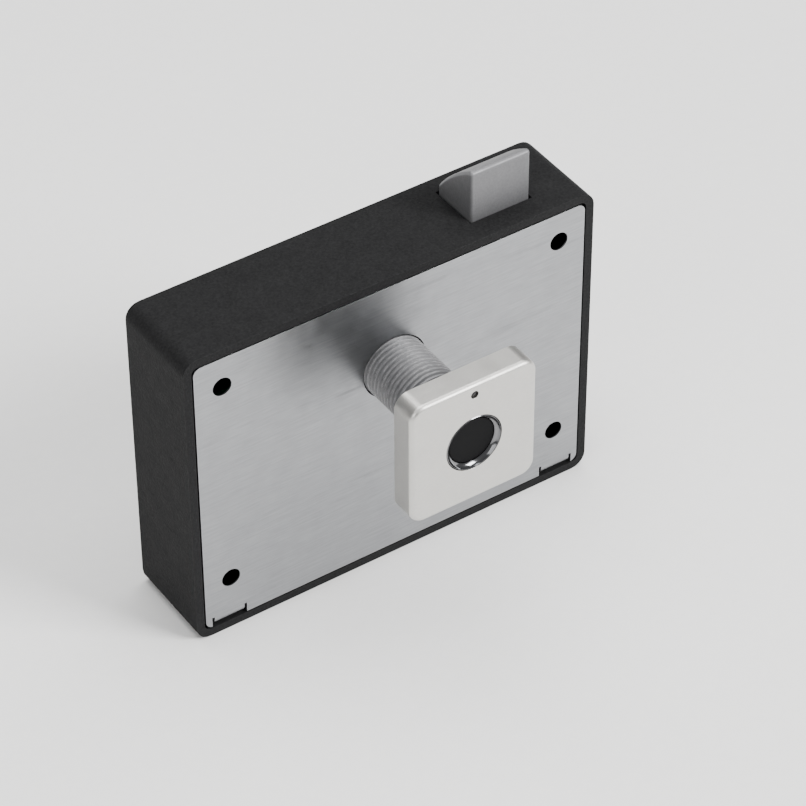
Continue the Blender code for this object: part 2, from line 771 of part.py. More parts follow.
def make_stem_nut():
    """Thin hexagon nut that draws the reader against the panel from inside the body."""
    front = PLATE_THICKNESS + CLEARANCE
    corner_diameter = NUT_ACROSS_FLATS / math.cos(math.pi / 6)
    wide = corner_diameter / 2 + NUT_CHAMFER
    slope = (wide - NUT_ACROSS_FLATS / 2) / NUT_THICKNESS
    nut = plate(
        "stem_nut",
        [circle((0.0, 0.0), corner_diameter, 6)],
        NUT_THICKNESS,
        (0.0, front + NUT_THICKNESS / 2, 0.0),
    )
    rounding = turned(
        "nut_rounding",
        [
            (0.0, NUT_THICKNESS / 2 + OVERRUN),
            (NUT_ACROSS_FLATS / 2 - slope * OVERRUN, NUT_THICKNESS / 2 + OVERRUN),
            (wide, -NUT_THICKNESS / 2),
            (wide, -NUT_THICKNESS),
            (0.0, -NUT_THICKNESS),
        ],
        (0.0, front + NUT_THICKNESS / 2, 0.0),
        (-math.pi / 2, math.pi / ROUND_SIDES, 0.0),
    )
    boolean(nut, rounding, "INTERSECT")
    cut(
        nut,
        rod(
            "nut_bore",
            (0.0, front - OVERRUN, 0.0),
            (0.0, front + NUT_THICKNESS + OVERRUN, 0.0),
            STEM_DIAMETER / 2 + SEAT_GAP,
        ),
    )
    paint(nut, STEEL, 0.3, 1.0)
    return nut


# Body

def lug_places():
    """Sideways middles of the plate's two lugs."""
    return (INNER_LEFT + LUG_INSET, INNER_RIGHT - LUG_INSET)


def wood_screw_places():
    """Middles of the four screw holes in the plate."""
    left = INNER_LEFT + WOOD_SCREW_INSET
    right = INNER_RIGHT - WOOD_SCREW_INSET
    high = INNER_TOP - WOOD_SCREW_TOP_INSET
    low = INNER_FOOT + WOOD_SCREW_FOOT_INSET
    return [(x, z) for x in (left, right) for z in (high, low)]


def body_block():
    """The body's outer form: round corners, and a softened edge all round the back."""
    block = plate(
        "housing",
        [rounded((LEFT, FOOT), (RIGHT, TOP), BODY_CORNER_RADIUS, CORNER_STEPS + 1)],
        REAR + 2 * BODY_REAR_RADIUS,
        (0.0, REAR / 2 - BODY_REAR_RADIUS, 0.0),
    )
    bevel(block, BODY_REAR_RADIUS)
    front_trim = box(
        "front_trim",
        (LEFT - OVERRUN, -2 * BODY_REAR_RADIUS - OVERRUN, FOOT - OVERRUN),
        (RIGHT + OVERRUN, 0.0, TOP + OVERRUN),
    )
    cut(block, front_trim)
    return block


def hollow_body(block):
    """Clear the space behind the plate, the mechanism's room and the space behind the setting button."""
    front = -OVERRUN
    corner = BODY_CORNER_RADIUS - WALL
    board_room = plate(
        "board_room",
        [rounded((INNER_LEFT, INNER_FOOT), (INNER_RIGHT, INNER_TOP), corner)],
        BOARD_SPACE - front,
        (0.0, (BOARD_SPACE + front) / 2, 0.0),
    )
    mechanism_room = plate(
        "mechanism_room",
        [
            rounded(
                (MECHANISM_LEFT, INNER_FOOT + SEAT_GAP),
                (INNER_RIGHT - SEAT_GAP, INNER_TOP - SEAT_GAP),
                corner,
            )
        ],
        INNER_REAR,
        (0.0, INNER_REAR / 2, 0.0),
    )
    well_back = WELL_FACE - WELL_FLOOR
    button_room = box(
        "button_room",
        (INNER_LEFT + CLEARANCE, CLEARANCE, INNER_FOOT + CLEARANCE / 2),
        (MECHANISM_LEFT + OVERRUN, well_back, WELL_TOP),
    )
    cut(block, board_room, mechanism_room, button_room)


def cut_battery_bay(block):
    """Open bay for the cells, with a rounded trough under each, and the well beside it for the button."""
    trough_top = BAY_FRONT + TROUGH_DEPTH
    far = REAR + OVERRUN
    bay = plate(
        "bay",
        [rounded((BAY_LEFT, BAY_FOOT), (BAY_RIGHT, BAY_TOP), COVER_CORNER_RADIUS)],
        far - trough_top,
        (0.0, (far + trough_top) / 2, 0.0),
    )
    cut(block, bay)
    for i, x in enumerate(cell_places()):
        trough = rod(
            f"trough_{i + 1}",
            (x, CELL_Y, BAY_FOOT + SEAT_GAP),
            (x, CELL_Y, BAY_TOP - SEAT_GAP),
            CELL_DIAMETER / 2 + CLEARANCE,
        )
        cut(block, trough)
    well = plate(
        "well",
        [rounded((BAY_LEFT, WELL_FOOT), (BAY_RIGHT, WELL_TOP), COVER_CORNER_RADIUS)],
        far - WELL_FACE,
        (0.0, (far + WELL_FACE) / 2, 0.0),
    )
    cover_face = REAR - COVER_THICKNESS - CLEARANCE
    cover_seat = box(
        "cover_seat",
        (BAY_LEFT, cover_face, WELL_TOP - COVER_CORNER_RADIUS),
        (BAY_RIGHT, far, BAY_FOOT + COVER_CORNER_RADIUS),
    )
    button_hole = rod(
        "button_hole",
        (SWITCH_X, BOARD_SPACE, WELL_Z),
        (SWITCH_X, far, WELL_Z),
        BUTTON_DIAMETER / 2 + CLEARANCE,
        SMALL_SIDES,
    )
    cut(block, well, cover_seat, button_hole)


def cell_places():
    """Sideways middles of the cells."""
    first = BAY_LEFT + CELL_SIDE_GAP + CELL_DIAMETER / 2
    return [first + i * (CELL_DIAMETER + CELL_GAP) for i in range(CELL_COUNT)]


def add_body_ribs(block):
    """Guide for the bolt and draw plate, saddles for the motor, and bosses for the small screws."""
    guide_foot = INNER_TOP - BOLT_GUIDE_LENGTH
    into = OVERRUN / 2
    for side, name in ((-1, "left_guide"), (1, "right_guide")):
        inner = BOLT_X + side * GUIDE_INNER
        outer = inner + side * BOLT_GUIDE_THICKNESS
        guide = box(
            name,
            (min(inner, outer), DRAW_PLATE_FRONT, guide_foot),
            (max(inner, outer), INNER_REAR + into, INNER_TOP + into),
        )
        join(block, guide)
    back_rib_front = BOLT_REAR + CLEARANCE
    for share, name in zip(BACK_RIB_SHARES, ("left_back_rib", "right_back_rib")):
        x = BOLT_X + share * BOLT_WIDTH
        rib = box(
            name,
            (x - BOLT_GUIDE_THICKNESS / 2, back_rib_front, guide_foot),
            (x + BOLT_GUIDE_THICKNESS / 2, INNER_REAR + into, INNER_TOP + into),
        )
        join(block, rib)
    saddle_front = MOTOR_Y + MOTOR_DEPTH / 2 + SEAT_GAP
    for i, share in enumerate(SADDLE_PLACE_SHARES):
        x = MOTOR_REAR + share * (GEARBOX_FACE - MOTOR_REAR)
        saddle = box(
            f"saddle_{i + 1}",
            (x - SADDLE_WIDTH / 2, saddle_front, MOTOR_Z - MOTOR_HEIGHT / 2),
            (x + SADDLE_WIDTH / 2, INNER_REAR + into, MOTOR_Z + MOTOR_HEIGHT / 2),
        )
        join(block, saddle)
    boss_radius = SMALL_SCREW_DIAMETER / 2 + BOSS_WALL
    boss_front = CLAMP_SEAT + CLAMP_THICKNESS / 2 + SEAT_GAP
    for i, z in enumerate(CLAMP_SCREWS):
        boss = rod(
            f"clamp_boss_{i + 1}",
            (CLAMP_X, boss_front, z),
            (CLAMP_X, INNER_REAR + into, z),
            boss_radius,
            SMALL_SIDES,
        )
        hole = rod(
            f"clamp_hole_{i + 1}",
            (CLAMP_X, boss_front - OVERRUN, z),
            (CLAMP_X, boss_front + SMALL_SCREW_LENGTH + CLEARANCE, z),
            SMALL_SCREW_DIAMETER / 2 + SEAT_GAP,
            SMALL_SIDES,
        )
        join(block, boss)
        cut(block, hole)
    for i, (x, z) in enumerate(BOARD_SCREWS):
        boss = rod(
            f"board_boss_{i + 1}",
            (x, BOARD_REAR + SEAT_GAP, z),
            (x, BOARD_SPACE + BAY_FLOOR / 2, z),
            boss_radius,
            SMALL_SIDES,
        )
        hole = rod(
            f"board_hole_{i + 1}",
            (x, BOARD_FRONT, z),
            (x, BOARD_SPACE + BAY_FLOOR / 2, z),
            SMALL_SCREW_DIAMETER / 2 + SEAT_GAP,
            SMALL_SIDES,
        )
        join(block, boss)
        cut(block, hole)


def cut_bolt_slot(block):
    """Slot in the top for the bolt, and sunk holes in the foot for the two screws."""
    slot = box(
        "bolt_slot",
        (BOLT_X - SLOT_HALF_WIDTH, BOLT_FRONT - CLEARANCE, INNER_TOP - OVERRUN),
        (BOLT_X + SLOT_HALF_WIDTH, BOLT_REAR + CLEARANCE, TOP + OVERRUN),
    )
    cut(block, slot)
    for i, x in enumerate(lug_places()):
        hole = rod(
            f"foot_hole_{i + 1}",
            (x, LUG_Y, FOOT - OVERRUN),
            (x, LUG_Y, INNER_FOOT + OVERRUN),
            HOUSING_SCREW_DIAMETER / 2 + SEAT_GAP,
            SMALL_SIDES,
        )
        sink = rod(
            f"foot_sink_{i + 1}",
            (x, LUG_Y, FOOT - OVERRUN),
            (x, LUG_Y, FOOT + HOUSING_SCREW_HEAD_HEIGHT),
            HOUSING_SCREW_HEAD / 2 + HOUSING_SCREW_RIM,
            SMALL_SIDES,
        )
        cut(block, hole, sink)


def make_housing():
    """Moulded body: one shell with the battery bay at its left and the mechanism's room at its right."""
    block = body_block()
    hollow_body(block)
    cut_battery_bay(block)
    add_body_ribs(block)
    cut_bolt_slot(block)
    paint(block, BLACK_PLASTIC, 0.5)
    return block


def make_base_plate():
    """Steel plate with the stem's hole, four countersunk holes and two lugs folded into the body."""
    edge = CLEARANCE
    outline = rounded(
        (INNER_LEFT + edge, INNER_FOOT + edge), (INNER_RIGHT - edge, INNER_TOP - edge), PLATE_CORNER_RADIUS
    )
    holes = [circle((0.0, 0.0), STEM_DIAMETER + 2 * CLEARANCE)]
    holes += [circle(centre, WOOD_SCREW_HOLE, SMALL_SIDES) for centre in wood_screw_places()]
    base = plate("base_plate", [outline] + holes, PLATE_THICKNESS, (0.0, PLATE_THICKNESS / 2, 0.0))
    sink_depth = WOOD_SINK_SHARE * PLATE_THICKNESS
    for i, (x, z) in enumerate(wood_screw_places()):
        sink = turned(
            f"screw_sink_{i + 1}",
            [
                (0.0, OVERRUN),
                (WOOD_SCREW_SINK / 2 + OVERRUN, OVERRUN),
                (WOOD_SCREW_SINK / 2 - sink_depth, -sink_depth),
                (0.0, -sink_depth),
            ],
            (x, PLATE_THICKNESS, z),
            (-math.pi / 2, math.pi / SMALL_SIDES, 0.0),
            SMALL_SIDES,
        )
        cut(base, sink)
    for i, x in enumerate(lug_places()):
        lug = box(
            f"lug_{i + 1}",
            (x - LUG_WIDTH / 2, PLATE_THICKNESS / 2, INNER_FOOT + edge + SEAT_GAP),
            (x + LUG_WIDTH / 2, PLATE_THICKNESS + LUG_REACH, LUG_TOP),
        )
        hole = rod(
            f"lug_hole_{i + 1}",
            (x, LUG_Y, INNER_FOOT - OVERRUN),
            (x, LUG_Y, LUG_TOP + OVERRUN),
            HOUSING_SCREW_DIAMETER / 2 + SEAT_GAP,
            SMALL_SIDES,
        )
        join(base, lug)
        cut(base, hole)
    paint(base, STEEL, 0.35, 1.0)
    return base


def make_housing_screws():
    """Two screws through the foot of the body into the plate's lugs."""
    screws = []
    for i, x in enumerate(lug_places()):
        screws.append(
            pan_screw(
                f"housing_screw_{i + 1}",
                (x, LUG_Y, FOOT + HOUSING_SCREW_HEAD_HEIGHT - SEAT_GAP),
                (0.0, 0.0, 1.0),
                HOUSING_SCREW_DIAMETER,
                HOUSING_SCREW_LENGTH,
                HOUSING_SCREW_HEAD,
                HOUSING_SCREW_HEAD_HEIGHT - 2 * SEAT_GAP,
            )
        )
    return paint_all(screws, STEEL, 0.3, 1.0)


# Cells and contacts

def cell_facts():
    """Each cell's middle and whether its nub points up: the cells alternate."""
    return [(x, i % 2 == 0) for i, x in enumerate(cell_places())]


def make_cell(number, x, nub_up):
    """One small cell with its nub at one end."""
    radius = CELL_DIAMETER / 2
    shoulder = -CELL_NUB_HEIGHT
    profile = [
        (0.0, 0.0),
        (CELL_NUB_DIAMETER / 2, 0.0),
        (CELL_NUB_DIAMETER / 2, shoulder),
        (radius - CELL_EDGE, shoulder),
        (radius, shoulder - CELL_EDGE),
        (radius, CELL_EDGE - CELL_LENGTH),
        (radius - CELL_EDGE, -CELL_LENGTH),
        (0.0, -CELL_LENGTH),
    ]
    tip = NUB_UP_TIP if nub_up else NUB_DOWN_TIP
    turn = (0.0, 0.0, 0.0) if nub_up else (math.pi, 0.0, 0.0)
    cell = turned(f"battery_{number}", profile, (x, CELL_Y, tip), turn, CELL_SIDES)
    paint(cell, CELL_SLEEVE, 0.35, 0.6)
    return cell


def helix(middle, foot, height, radius_foot, radius_top, turns):
    """Points of a coil about a vertical line; its first and last points lie at its two ends."""
    count = round(turns * COIL_POINTS)
    points = []
    for i in range(count + 1):
        share = i / count
        angle = math.tau * turns * share
        radius = radius_foot + (radius_top - radius_foot) * share
        x = middle[0] + radius * math.cos(angle)
        y = middle[1] + radius * math.sin(angle)
        points.append((x, y, foot + height * share))
    return points


def coil_gap(height, turns, wire):
    """Least gap between one turn of a coil and the next."""
    return height / turns - wire


def make_battery_springs():
    """A conical spring behind the flat end of each cell."""
    springs = []
    wire = CELL_SPRING_WIRE
    room = CELL_SPRING_HEIGHT - wire
    wide = (CELL_SPRING_WIDE - wire) / 2
    narrow = (CELL_SPRING_NARROW - wire) / 2
    for i, (x, nub_up) in enumerate(cell_facts()):
        if nub_up:
            foot = NUB_DOWN_TIP + wire / 2
            points = helix((x, CELL_Y), foot, room, wide, narrow, CELL_SPRING_TURNS)
        else:
            foot = NUB_UP_TIP - wire / 2 - room
            points = helix((x, CELL_Y), foot, room, narrow, wide, CELL_SPRING_TURNS)
        springs.append(tube(f"battery_spring_{i + 1}", points, wire))
    print("least gap in a battery spring:", round(coil_gap(room, CELL_SPRING_TURNS, wire), 5))
    return paint_all(springs, STEEL, 0.25, 1.0)


def make_battery_contacts():
    """Contact plates at both ends of the bay: single ones, and ones that bridge two cells."""
    places = cell_places()
    half = CONTACT_WIDTH / 2
    front = BAY_FRONT + TROUGH_DEPTH + CLEARANCE
    spans = (
        ("battery_contact_1", places[0], places[0], CONTACT_TOP - CONTACT_THICKNESS / 2),
        ("battery_contact_2", places[1], places[2], CONTACT_TOP - CONTACT_THICKNESS / 2),
        ("battery_contact_3", places[0], places[1], CONTACT_FOOT + CONTACT_THICKNESS / 2),
        ("battery_contact_4", places[2], places[2], CONTACT_FOOT + CONTACT_THICKNESS / 2),
    )
    plates = [
        plate(
            name,
            [rounded((x0 - half, front), (x1 + half, CELL_Y + half), CELL_EDGE)],
            CONTACT_THICKNESS,
            (0.0, 0.0, z),
            ALONG_Z,
        )
        for name, x0, x1, z in spans
    ]
    return paint_all(plates, STEEL, 0.25, 1.0)


def make_battery_cover():
    """Flush cover at the back, with grip grooves and two snap legs, lifted off to change the cells."""
    low = (BAY_LEFT + CLEARANCE, WELL_FOOT + CLEARANCE)
    high = (BAY_RIGHT - CLEARANCE, BAY_TOP - CLEARANCE)
    cover = plate(
        "battery_cover",
        [rounded(low, high, COVER_CORNER_RADIUS)],
        COVER_THICKNESS,
        (0.0, REAR - COVER_THICKNESS / 2, 0.0),
    )
    middle = (BAY_LEFT + BAY_RIGHT) / 2
    front = REAR - COVER_THICKNESS
    for i, side in enumerate((-1, 1)):
        x = middle + side * (BAY_WIDTH / 2 - COVER_SNAP_WIDTH)
        leg = box(
            f"snap_leg_{i + 1}",
            (x - COVER_SNAP_WIDTH / 2, front - COVER_SNAP_LENGTH, WELL_FOOT + CLEARANCE + SEAT_GAP),
            (
                x + COVER_SNAP_WIDTH / 2,
                front + COVER_THICKNESS / 2,
                WELL_FOOT + CLEARANCE + COVER_SNAP_THICKNESS,
            ),
        )
        join(cover, leg)
    for i in range(COVER_GRIP_GROOVES):
        z = WELL_TOP + COVER_GRIP_PITCH * i
        groove = box(
            f"grip_groove_{i + 1}",
            (middle - COVER_GRIP_WIDTH / 2, REAR - COVER_GRIP_DEPTH, z - COVER_GRIP_GROOVE / 2),
            (middle + COVER_GRIP_WIDTH / 2, REAR + OVERRUN, z + COVER_GRIP_GROOVE / 2),
        )
        cut(cover, groove)
    paint(cover, BLACK_PLASTIC, 0.5)
    return cover


def make_set_button():
    """Plunger that reaches from the well beside the cells down to the switch on the main board."""
    foot = BOARD_REAR + SEAT_GAP + SWITCH_HEIGHT + SWITCH_TIP_HEIGHT + BUTTON_TO_SWITCH
    head = WELL_FACE + BUTTON_PROUD
    length = head - foot
    collar_top = WELL_FACE - WELL_FLOOR - CLEARANCE - foot
    radius = BUTTON_DIAMETER / 2
    edge = BUTTON_EDGE
    profile = [
        (0.0, length),
        (radius - edge, length),
        (radius, length - edge),
        (radius, collar_top),
        (BUTTON_COLLAR / 2, collar_top),
        (BUTTON_COLLAR / 2, collar_top - BUTTON_COLLAR_HEIGHT),
        (radius, collar_top - BUTTON_COLLAR_HEIGHT),
        (radius, 0.0),
        (0.0, 0.0),
    ]
    button = turned("set_button", profile, (SWITCH_X, foot, WELL_Z), (-math.pi / 2, 0.0, 0.0), SMALL_SIDES)
    paint(button, LEAD_RED, 0.45)
    return button


def make_set_switch():
    """Push switch on the main board under the button."""
    half = SWITCH_SIDE / 2
    foot = BOARD_REAR + SEAT_GAP
    switch = box(
        "set_switch",
        (SWITCH_X - half, foot, WELL_Z - half),
        (SWITCH_X + half, foot + SWITCH_HEIGHT, WELL_Z + half),
    )
    tip = rod(
        "switch_tip",
        (SWITCH_X, foot + SWITCH_HEIGHT / 2, WELL_Z),
        (SWITCH_X, foot + SWITCH_HEIGHT + SWITCH_TIP_HEIGHT, WELL_Z),
        SWITCH_TIP_DIAMETER / 2,
        SMALL_SIDES,
    )
    join(switch, tip)
    paint(switch, STEEL, 0.4, 0.8)
    return switch


# Main board

def board_point(across_share, up_share):
    """A place on the main board, as shares of its width and height."""
    x = BOARD_LEFT + across_share * (BOARD_RIGHT - BOARD_LEFT)
    z = BOARD_FOOT + up_share * (BOARD_TOP - BOARD_FOOT)
    return x, z


def make_main_board():
    """Circuit board in front of the cells, stepped round the plate's lug and screw hole."""
    outline = [
        (BOARD_LEFT, BOARD_TOP),
        (BOARD_RIGHT, BOARD_TOP),
        (BOARD_RIGHT, BOARD_FOOT),
        (BOARD_NOTCH_RIGHT, BOARD_FOOT),
        (BOARD_NOTCH_RIGHT, BOARD_NOTCH_TOP),
        (BOARD_LEFT, BOARD_NOTCH_TOP),
    ]
    holes = [circle(centre, SMALL_SCREW_DIAMETER + 2 * SEAT_GAP, SMALL_SIDES) for centre in BOARD_SCREWS]
    middle = (BOARD_FRONT + BOARD_REAR) / 2
    board = plate("main_board", [outline] + holes, BOARD_THICKNESS, (0.0, middle, 0.0))
    paint(board, BOARD_GREEN, 0.45)
    return board


def make_board_chips():
    """Controller, motor driver and capacitors on the main board's rear face."""
    kinds = [
        ("controller_chip", CONTROLLER_SHARES, CHIP_SIDE, CHIP_SIDE),
        ("motor_driver_chip", DRIVER_SHARES, DRIVER_LENGTH, DRIVER_WIDTH),
    ]
    for i, shares in enumerate(CAPACITOR_SHARES):
        kinds.append((f"capacitor_{i + 1}", shares, CAPACITOR_SIDE, CAPACITOR_SIDE))
    chips = []
    foot = BOARD_REAR + SEAT_GAP
    for name, (across_share, up_share), width, height in kinds:
        x, z = board_point(across_share, up_share)
        low = (x - width / 2, foot, z - height / 2)
        high = (x + width / 2, foot + CHIP_HEIGHT, z + height / 2)
        chips.append(box(name, low, high))
    return paint_all(chips, CHIP_BLACK, 0.5)


def make_board_screws():
    """Two short screws that hold the main board on its bosses."""
    length = BOARD_SPACE - BOARD_FRONT - CLEARANCE
    screws = [
        pan_screw(
            f"board_screw_{i + 1}",
            (x, BOARD_FRONT - SEAT_GAP, z),
            (0.0, 1.0, 0.0),
            SMALL_SCREW_DIAMETER,
            length,
            SMALL_SCREW_HEAD,
            SMALL_SCREW_HEAD_HEIGHT,
        )
        for i, (x, z) in enumerate(BOARD_SCREWS)
    ]
    return paint_all(screws, STEEL, 0.3, 1.0)


def make_cable_socket():
    """Low socket at the board's edge that takes the reader's flat cable."""
    foot = BOARD_REAR + SEAT_GAP
    socket = box(
        "cable_socket",
        (SOCKET_RIGHT - SOCKET_LENGTH, foot, -SOCKET_WIDTH / 2),
        (SOCKET_RIGHT, foot + SOCKET_HEIGHT, SOCKET_WIDTH / 2),
    )
    paint(socket, SOCKET_IVORY, 0.5)
    return socket


def make_reader_cable():
    """Flat cable from the reader's board through the stem, turned over its end to the socket."""
    half = CABLE_THICKNESS / 2
    start = READER_BOARD_REAR + SEAT_GAP
    bend_y = CABLE_Y - CABLE_BEND
    end = SOCKET_RIGHT + SEAT_GAP
    outline = [(half, start)]
    outline += arc((-CABLE_BEND, bend_y), CABLE_BEND + half, 0.0, 90.0, CORNER_STEPS)
    outline += [(end, CABLE_Y + half), (end, CABLE_Y - half)]
    outline += arc((-CABLE_BEND, bend_y), CABLE_BEND - half, 90.0, 0.0, CORNER_STEPS)
    outline.append((-half, start))
    cable = plate("reader_cable", [outline], CABLE_WIDTH, (0.0, 0.0, 0.0), ALONG_Z)
    paint(cable, CABLE_AMBER, 0.4)
    return cable


# Motor and gears

def two_flat_outline(diameter, across_flats):
    """A circle with two opposite flats."""
    radius = diameter / 2
    corner_deg = math.degrees(math.acos(across_flats / diameter))
    upper = arc((0.0, 0.0), radius, corner_deg, 180.0 - corner_deg, MOTOR_ARC_STEPS)
    lower = arc((0.0, 0.0), radius, 180.0 + corner_deg, 360.0 - corner_deg, MOTOR_ARC_STEPS)
    return upper + lower


def d_outline(diameter, flat):
    """A circle with one flat."""
    radius = diameter / 2
    corner_deg = math.degrees(math.acos((radius - flat) / radius))
    return arc((0.0, 0.0), radius, corner_deg, 360.0 - corner_deg, SMALL_SIDES)


def make_motor():
    """Small flat-sided motor with its end hub."""
    motor = plate(
        "motor",
        [two_flat_outline(MOTOR_HEIGHT, MOTOR_DEPTH)],
        MOTOR_LENGTH - SEAT_GAP,
        (MOTOR_REAR + (MOTOR_LENGTH - SEAT_GAP) / 2, MOTOR_Y, MOTOR_Z),
        ALONG_X,
    )
    bevel(motor, GEARBOX_STEP, 2)
    hub = rod(
        "motor_hub",
        (MOTOR_REAR - MOTOR_HUB_LENGTH, MOTOR_Y, MOTOR_Z),
        (MOTOR_REAR + OVERRUN, MOTOR_Y, MOTOR_Z),
        MOTOR_HUB_DIAMETER / 2,
        SMALL_SIDES,
    )
    join(motor, hub)
    paint(motor, STEEL, 0.28, 1.0)
    return motor


def make_gearbox():
    """Reduction gearbox: three end plates on a narrower gear block."""
    half_y = MOTOR_DEPTH / 2
    half_z = MOTOR_HEIGHT / 2
    step = GEARBOX_STEP
    inset = GEARBOX_PLATE / 2
    box_part = plate(
        "gearbox",
        [rounded((step - half_y, step - half_z), (half_y - step, half_z - step), step)],
        GEARBOX_LENGTH - 2 * inset,
        ((GEARBOX_REAR + GEARBOX_FACE) / 2, MOTOR_Y, MOTOR_Z),
        ALONG_X,
    )
    first = GEARBOX_REAR + inset
    last = GEARBOX_FACE - inset
    for i, x in enumerate((first, (first + last) / 2, last)):
        end_plate = plate(
            f"gearbox_plate_{i + 1}",
            [rounded((-half_y, -half_z), (half_y, half_z), step)],
            GEARBOX_PLATE,
            (x, MOTOR_Y, MOTOR_Z),
            ALONG_X,
        )
        join(box_part, end_plate)
    paint(box_part, BRASS, 0.35, 1.0)
    return box_part


def make_motor_shaft():
    """Output shaft with its flat."""
    start = GEARBOX_FACE + SEAT_GAP
    shaft = plate(
        "motor_shaft",
        [d_outline(SHAFT_DIAMETER, SHAFT_FLAT)],
        SHAFT_LENGTH,
        (start + SHAFT_LENGTH / 2, MOTOR_Y, MOTOR_Z),
        ALONG_X,
    )
    paint(shaft, POLISHED_STEEL, 0.2, 1.0)
    return shaft


def involute(angle):
    """Involute function of a pressure angle in radians."""
    return math.tan(angle) - angle


def pinion_outline():
    """Involute teeth; one tooth points towards the rack at rest."""
    pressure = math.radians(PRESSURE_ANGLE_DEG)
    base = PITCH_RADIUS * math.cos(pressure)
    tip = PITCH_RADIUS + GEAR_MODULE
    root = PITCH_RADIUS - RACK_ADDENDUM_SHARE * GEAR_MODULE - GEAR_CLEARANCE
    pitch_half = (math.pi * GEAR_MODULE / 2 - GEAR_BACKLASH / 2) / (2 * PITCH_RADIUS)

    def half_angle(radius):
        return pitch_half + involute(pressure) - involute(math.acos(base / radius))

    flank = []
    for i in range(FLANK_STEPS + 1):
        radius = base + (tip - base) * i / FLANK_STEPS
        flank.append((radius, half_angle(radius)))
    rising = [(root, flank[0][1])] + flank
    outline = []
    for tooth in range(PINION_TEETH):
        middle = math.pi + math.tau * tooth / PINION_TEETH
        tooth_points = [(radius, middle - half) for radius, half in rising]
        tooth_points += [(radius, middle + half) for radius, half in reversed(rising)]
        outline += [(radius * math.cos(angle), radius * math.sin(angle)) for radius, angle in tooth_points]
    return outline


def make_pinion():
    """Moulded pinion with a hub, on the motor's shaft."""
    bore = SHAFT_DIAMETER + 2 * SEAT_GAP
    pinion = plate(
        "pinion",
        [pinion_outline(), d_outline(bore, SHAFT_FLAT)],
        PINION_WIDTH,
        (PINION_X, MOTOR_Y, MOTOR_Z),
        ALONG_X,
    )
    hub_length = PINION_HUB_LENGTH + PINION_HUB_SUNK
    hub = plate(
        "pinion_hub",
        [circle((0.0, 0.0), PINION_HUB_DIAMETER), d_outline(bore, SHAFT_FLAT)],
        hub_length,
        (PINION_X + PINION_WIDTH / 2 + PINION_HUB_LENGTH - hub_length / 2, MOTOR_Y, MOTOR_Z),
        ALONG_X,
    )
    join(pinion, hub)
    paint(pinion, GEAR_WHITE, 0.45)
    return pinion


def make_motor_clamp():
    """Bent strap over the motor with a foot above and below."""
    t = CLAMP_THICKNESS
    outer_face = MOTOR_Y - MOTOR_DEPTH / 2 - SEAT_GAP - t
    inner_face = outer_face + t
    seat_front = CLAMP_SEAT - t / 2
    seat_rear = CLAMP_SEAT + t / 2
    leg = CLAMP_LEG
    foot = leg + t + CLAMP_FOOT
    half_outline = [
        (seat_front, foot),
        (seat_rear, foot),
        (seat_rear, leg),
        (inner_face, leg),
    ]
    other_half = [
        (inner_face, -leg),
        (seat_rear, -leg),
        (seat_rear, -foot),
        (seat_front, -foot),
        (seat_front, -leg - t),
        (outer_face, -leg - t),
        (outer_face, leg + t),
        (seat_front, leg + t),
    ]
    clamp = plate("motor_clamp", [half_outline + other_half], CLAMP_WIDTH, (CLAMP_X, 0.0, MOTOR_Z), ALONG_X)
    for i, z in enumerate(CLAMP_SCREWS):
        hole = rod(
            f"clamp_screw_hole_{i + 1}",
            (CLAMP_X, seat_front - OVERRUN, z),
            (CLAMP_X, seat_rear + OVERRUN, z),
            SMALL_SCREW_DIAMETER / 2 + SEAT_GAP,
            SMALL_SIDES,
        )
        cut(clamp, hole)
    paint(clamp, STEEL, 0.3, 1.0)
    return clamp


def make_clamp_screws():
    """Two screws that hold the clamp on its bosses."""
    screws = [
        pan_screw(
            f"clamp_screw_{i + 1}",
            (CLAMP_X, CLAMP_SEAT - CLAMP_THICKNESS / 2 - SEAT_GAP, z),
            (0.0, 1.0, 0.0),
            SMALL_SCREW_DIAMETER,
            SMALL_SCREW_LENGTH,
            SMALL_SCREW_HEAD,
            SMALL_SCREW_HEAD_HEIGHT,
        )
        for i, z in enumerate(CLAMP_SCREWS)
    ]
    return paint_all(screws, STEEL, 0.3, 1.0)


def make_motor_leads():
    """Two short leads from the motor's end to the main board's edge."""
    lead_x = MOTOR_REAR - MOTOR_END_SPACE / 2
    lead_y = (BOARD_FRONT + BOARD_REAR) / 2
    end_x = BOARD_RIGHT + SEAT_GAP
    leads = []
    for i, side in enumerate((1, -1)):
        z = MOTOR_Z + side * LEAD_SPACING / 2
        points = [(lead_x, MOTOR_Y, z)]
        for x, y in arc((lead_x - LEAD_BEND, lead_y + LEAD_BEND), LEAD_BEND, 0.0, -90.0, CORNER_STEPS):
            points.append((x, y, z))
        points.append((end_x, lead_y, z))
        leads.append(tube(f"motor_lead_{i + 1}", points, LEAD_DIAMETER))
    return paint_all(leads, LEAD_RED, 0.5)


# Latch

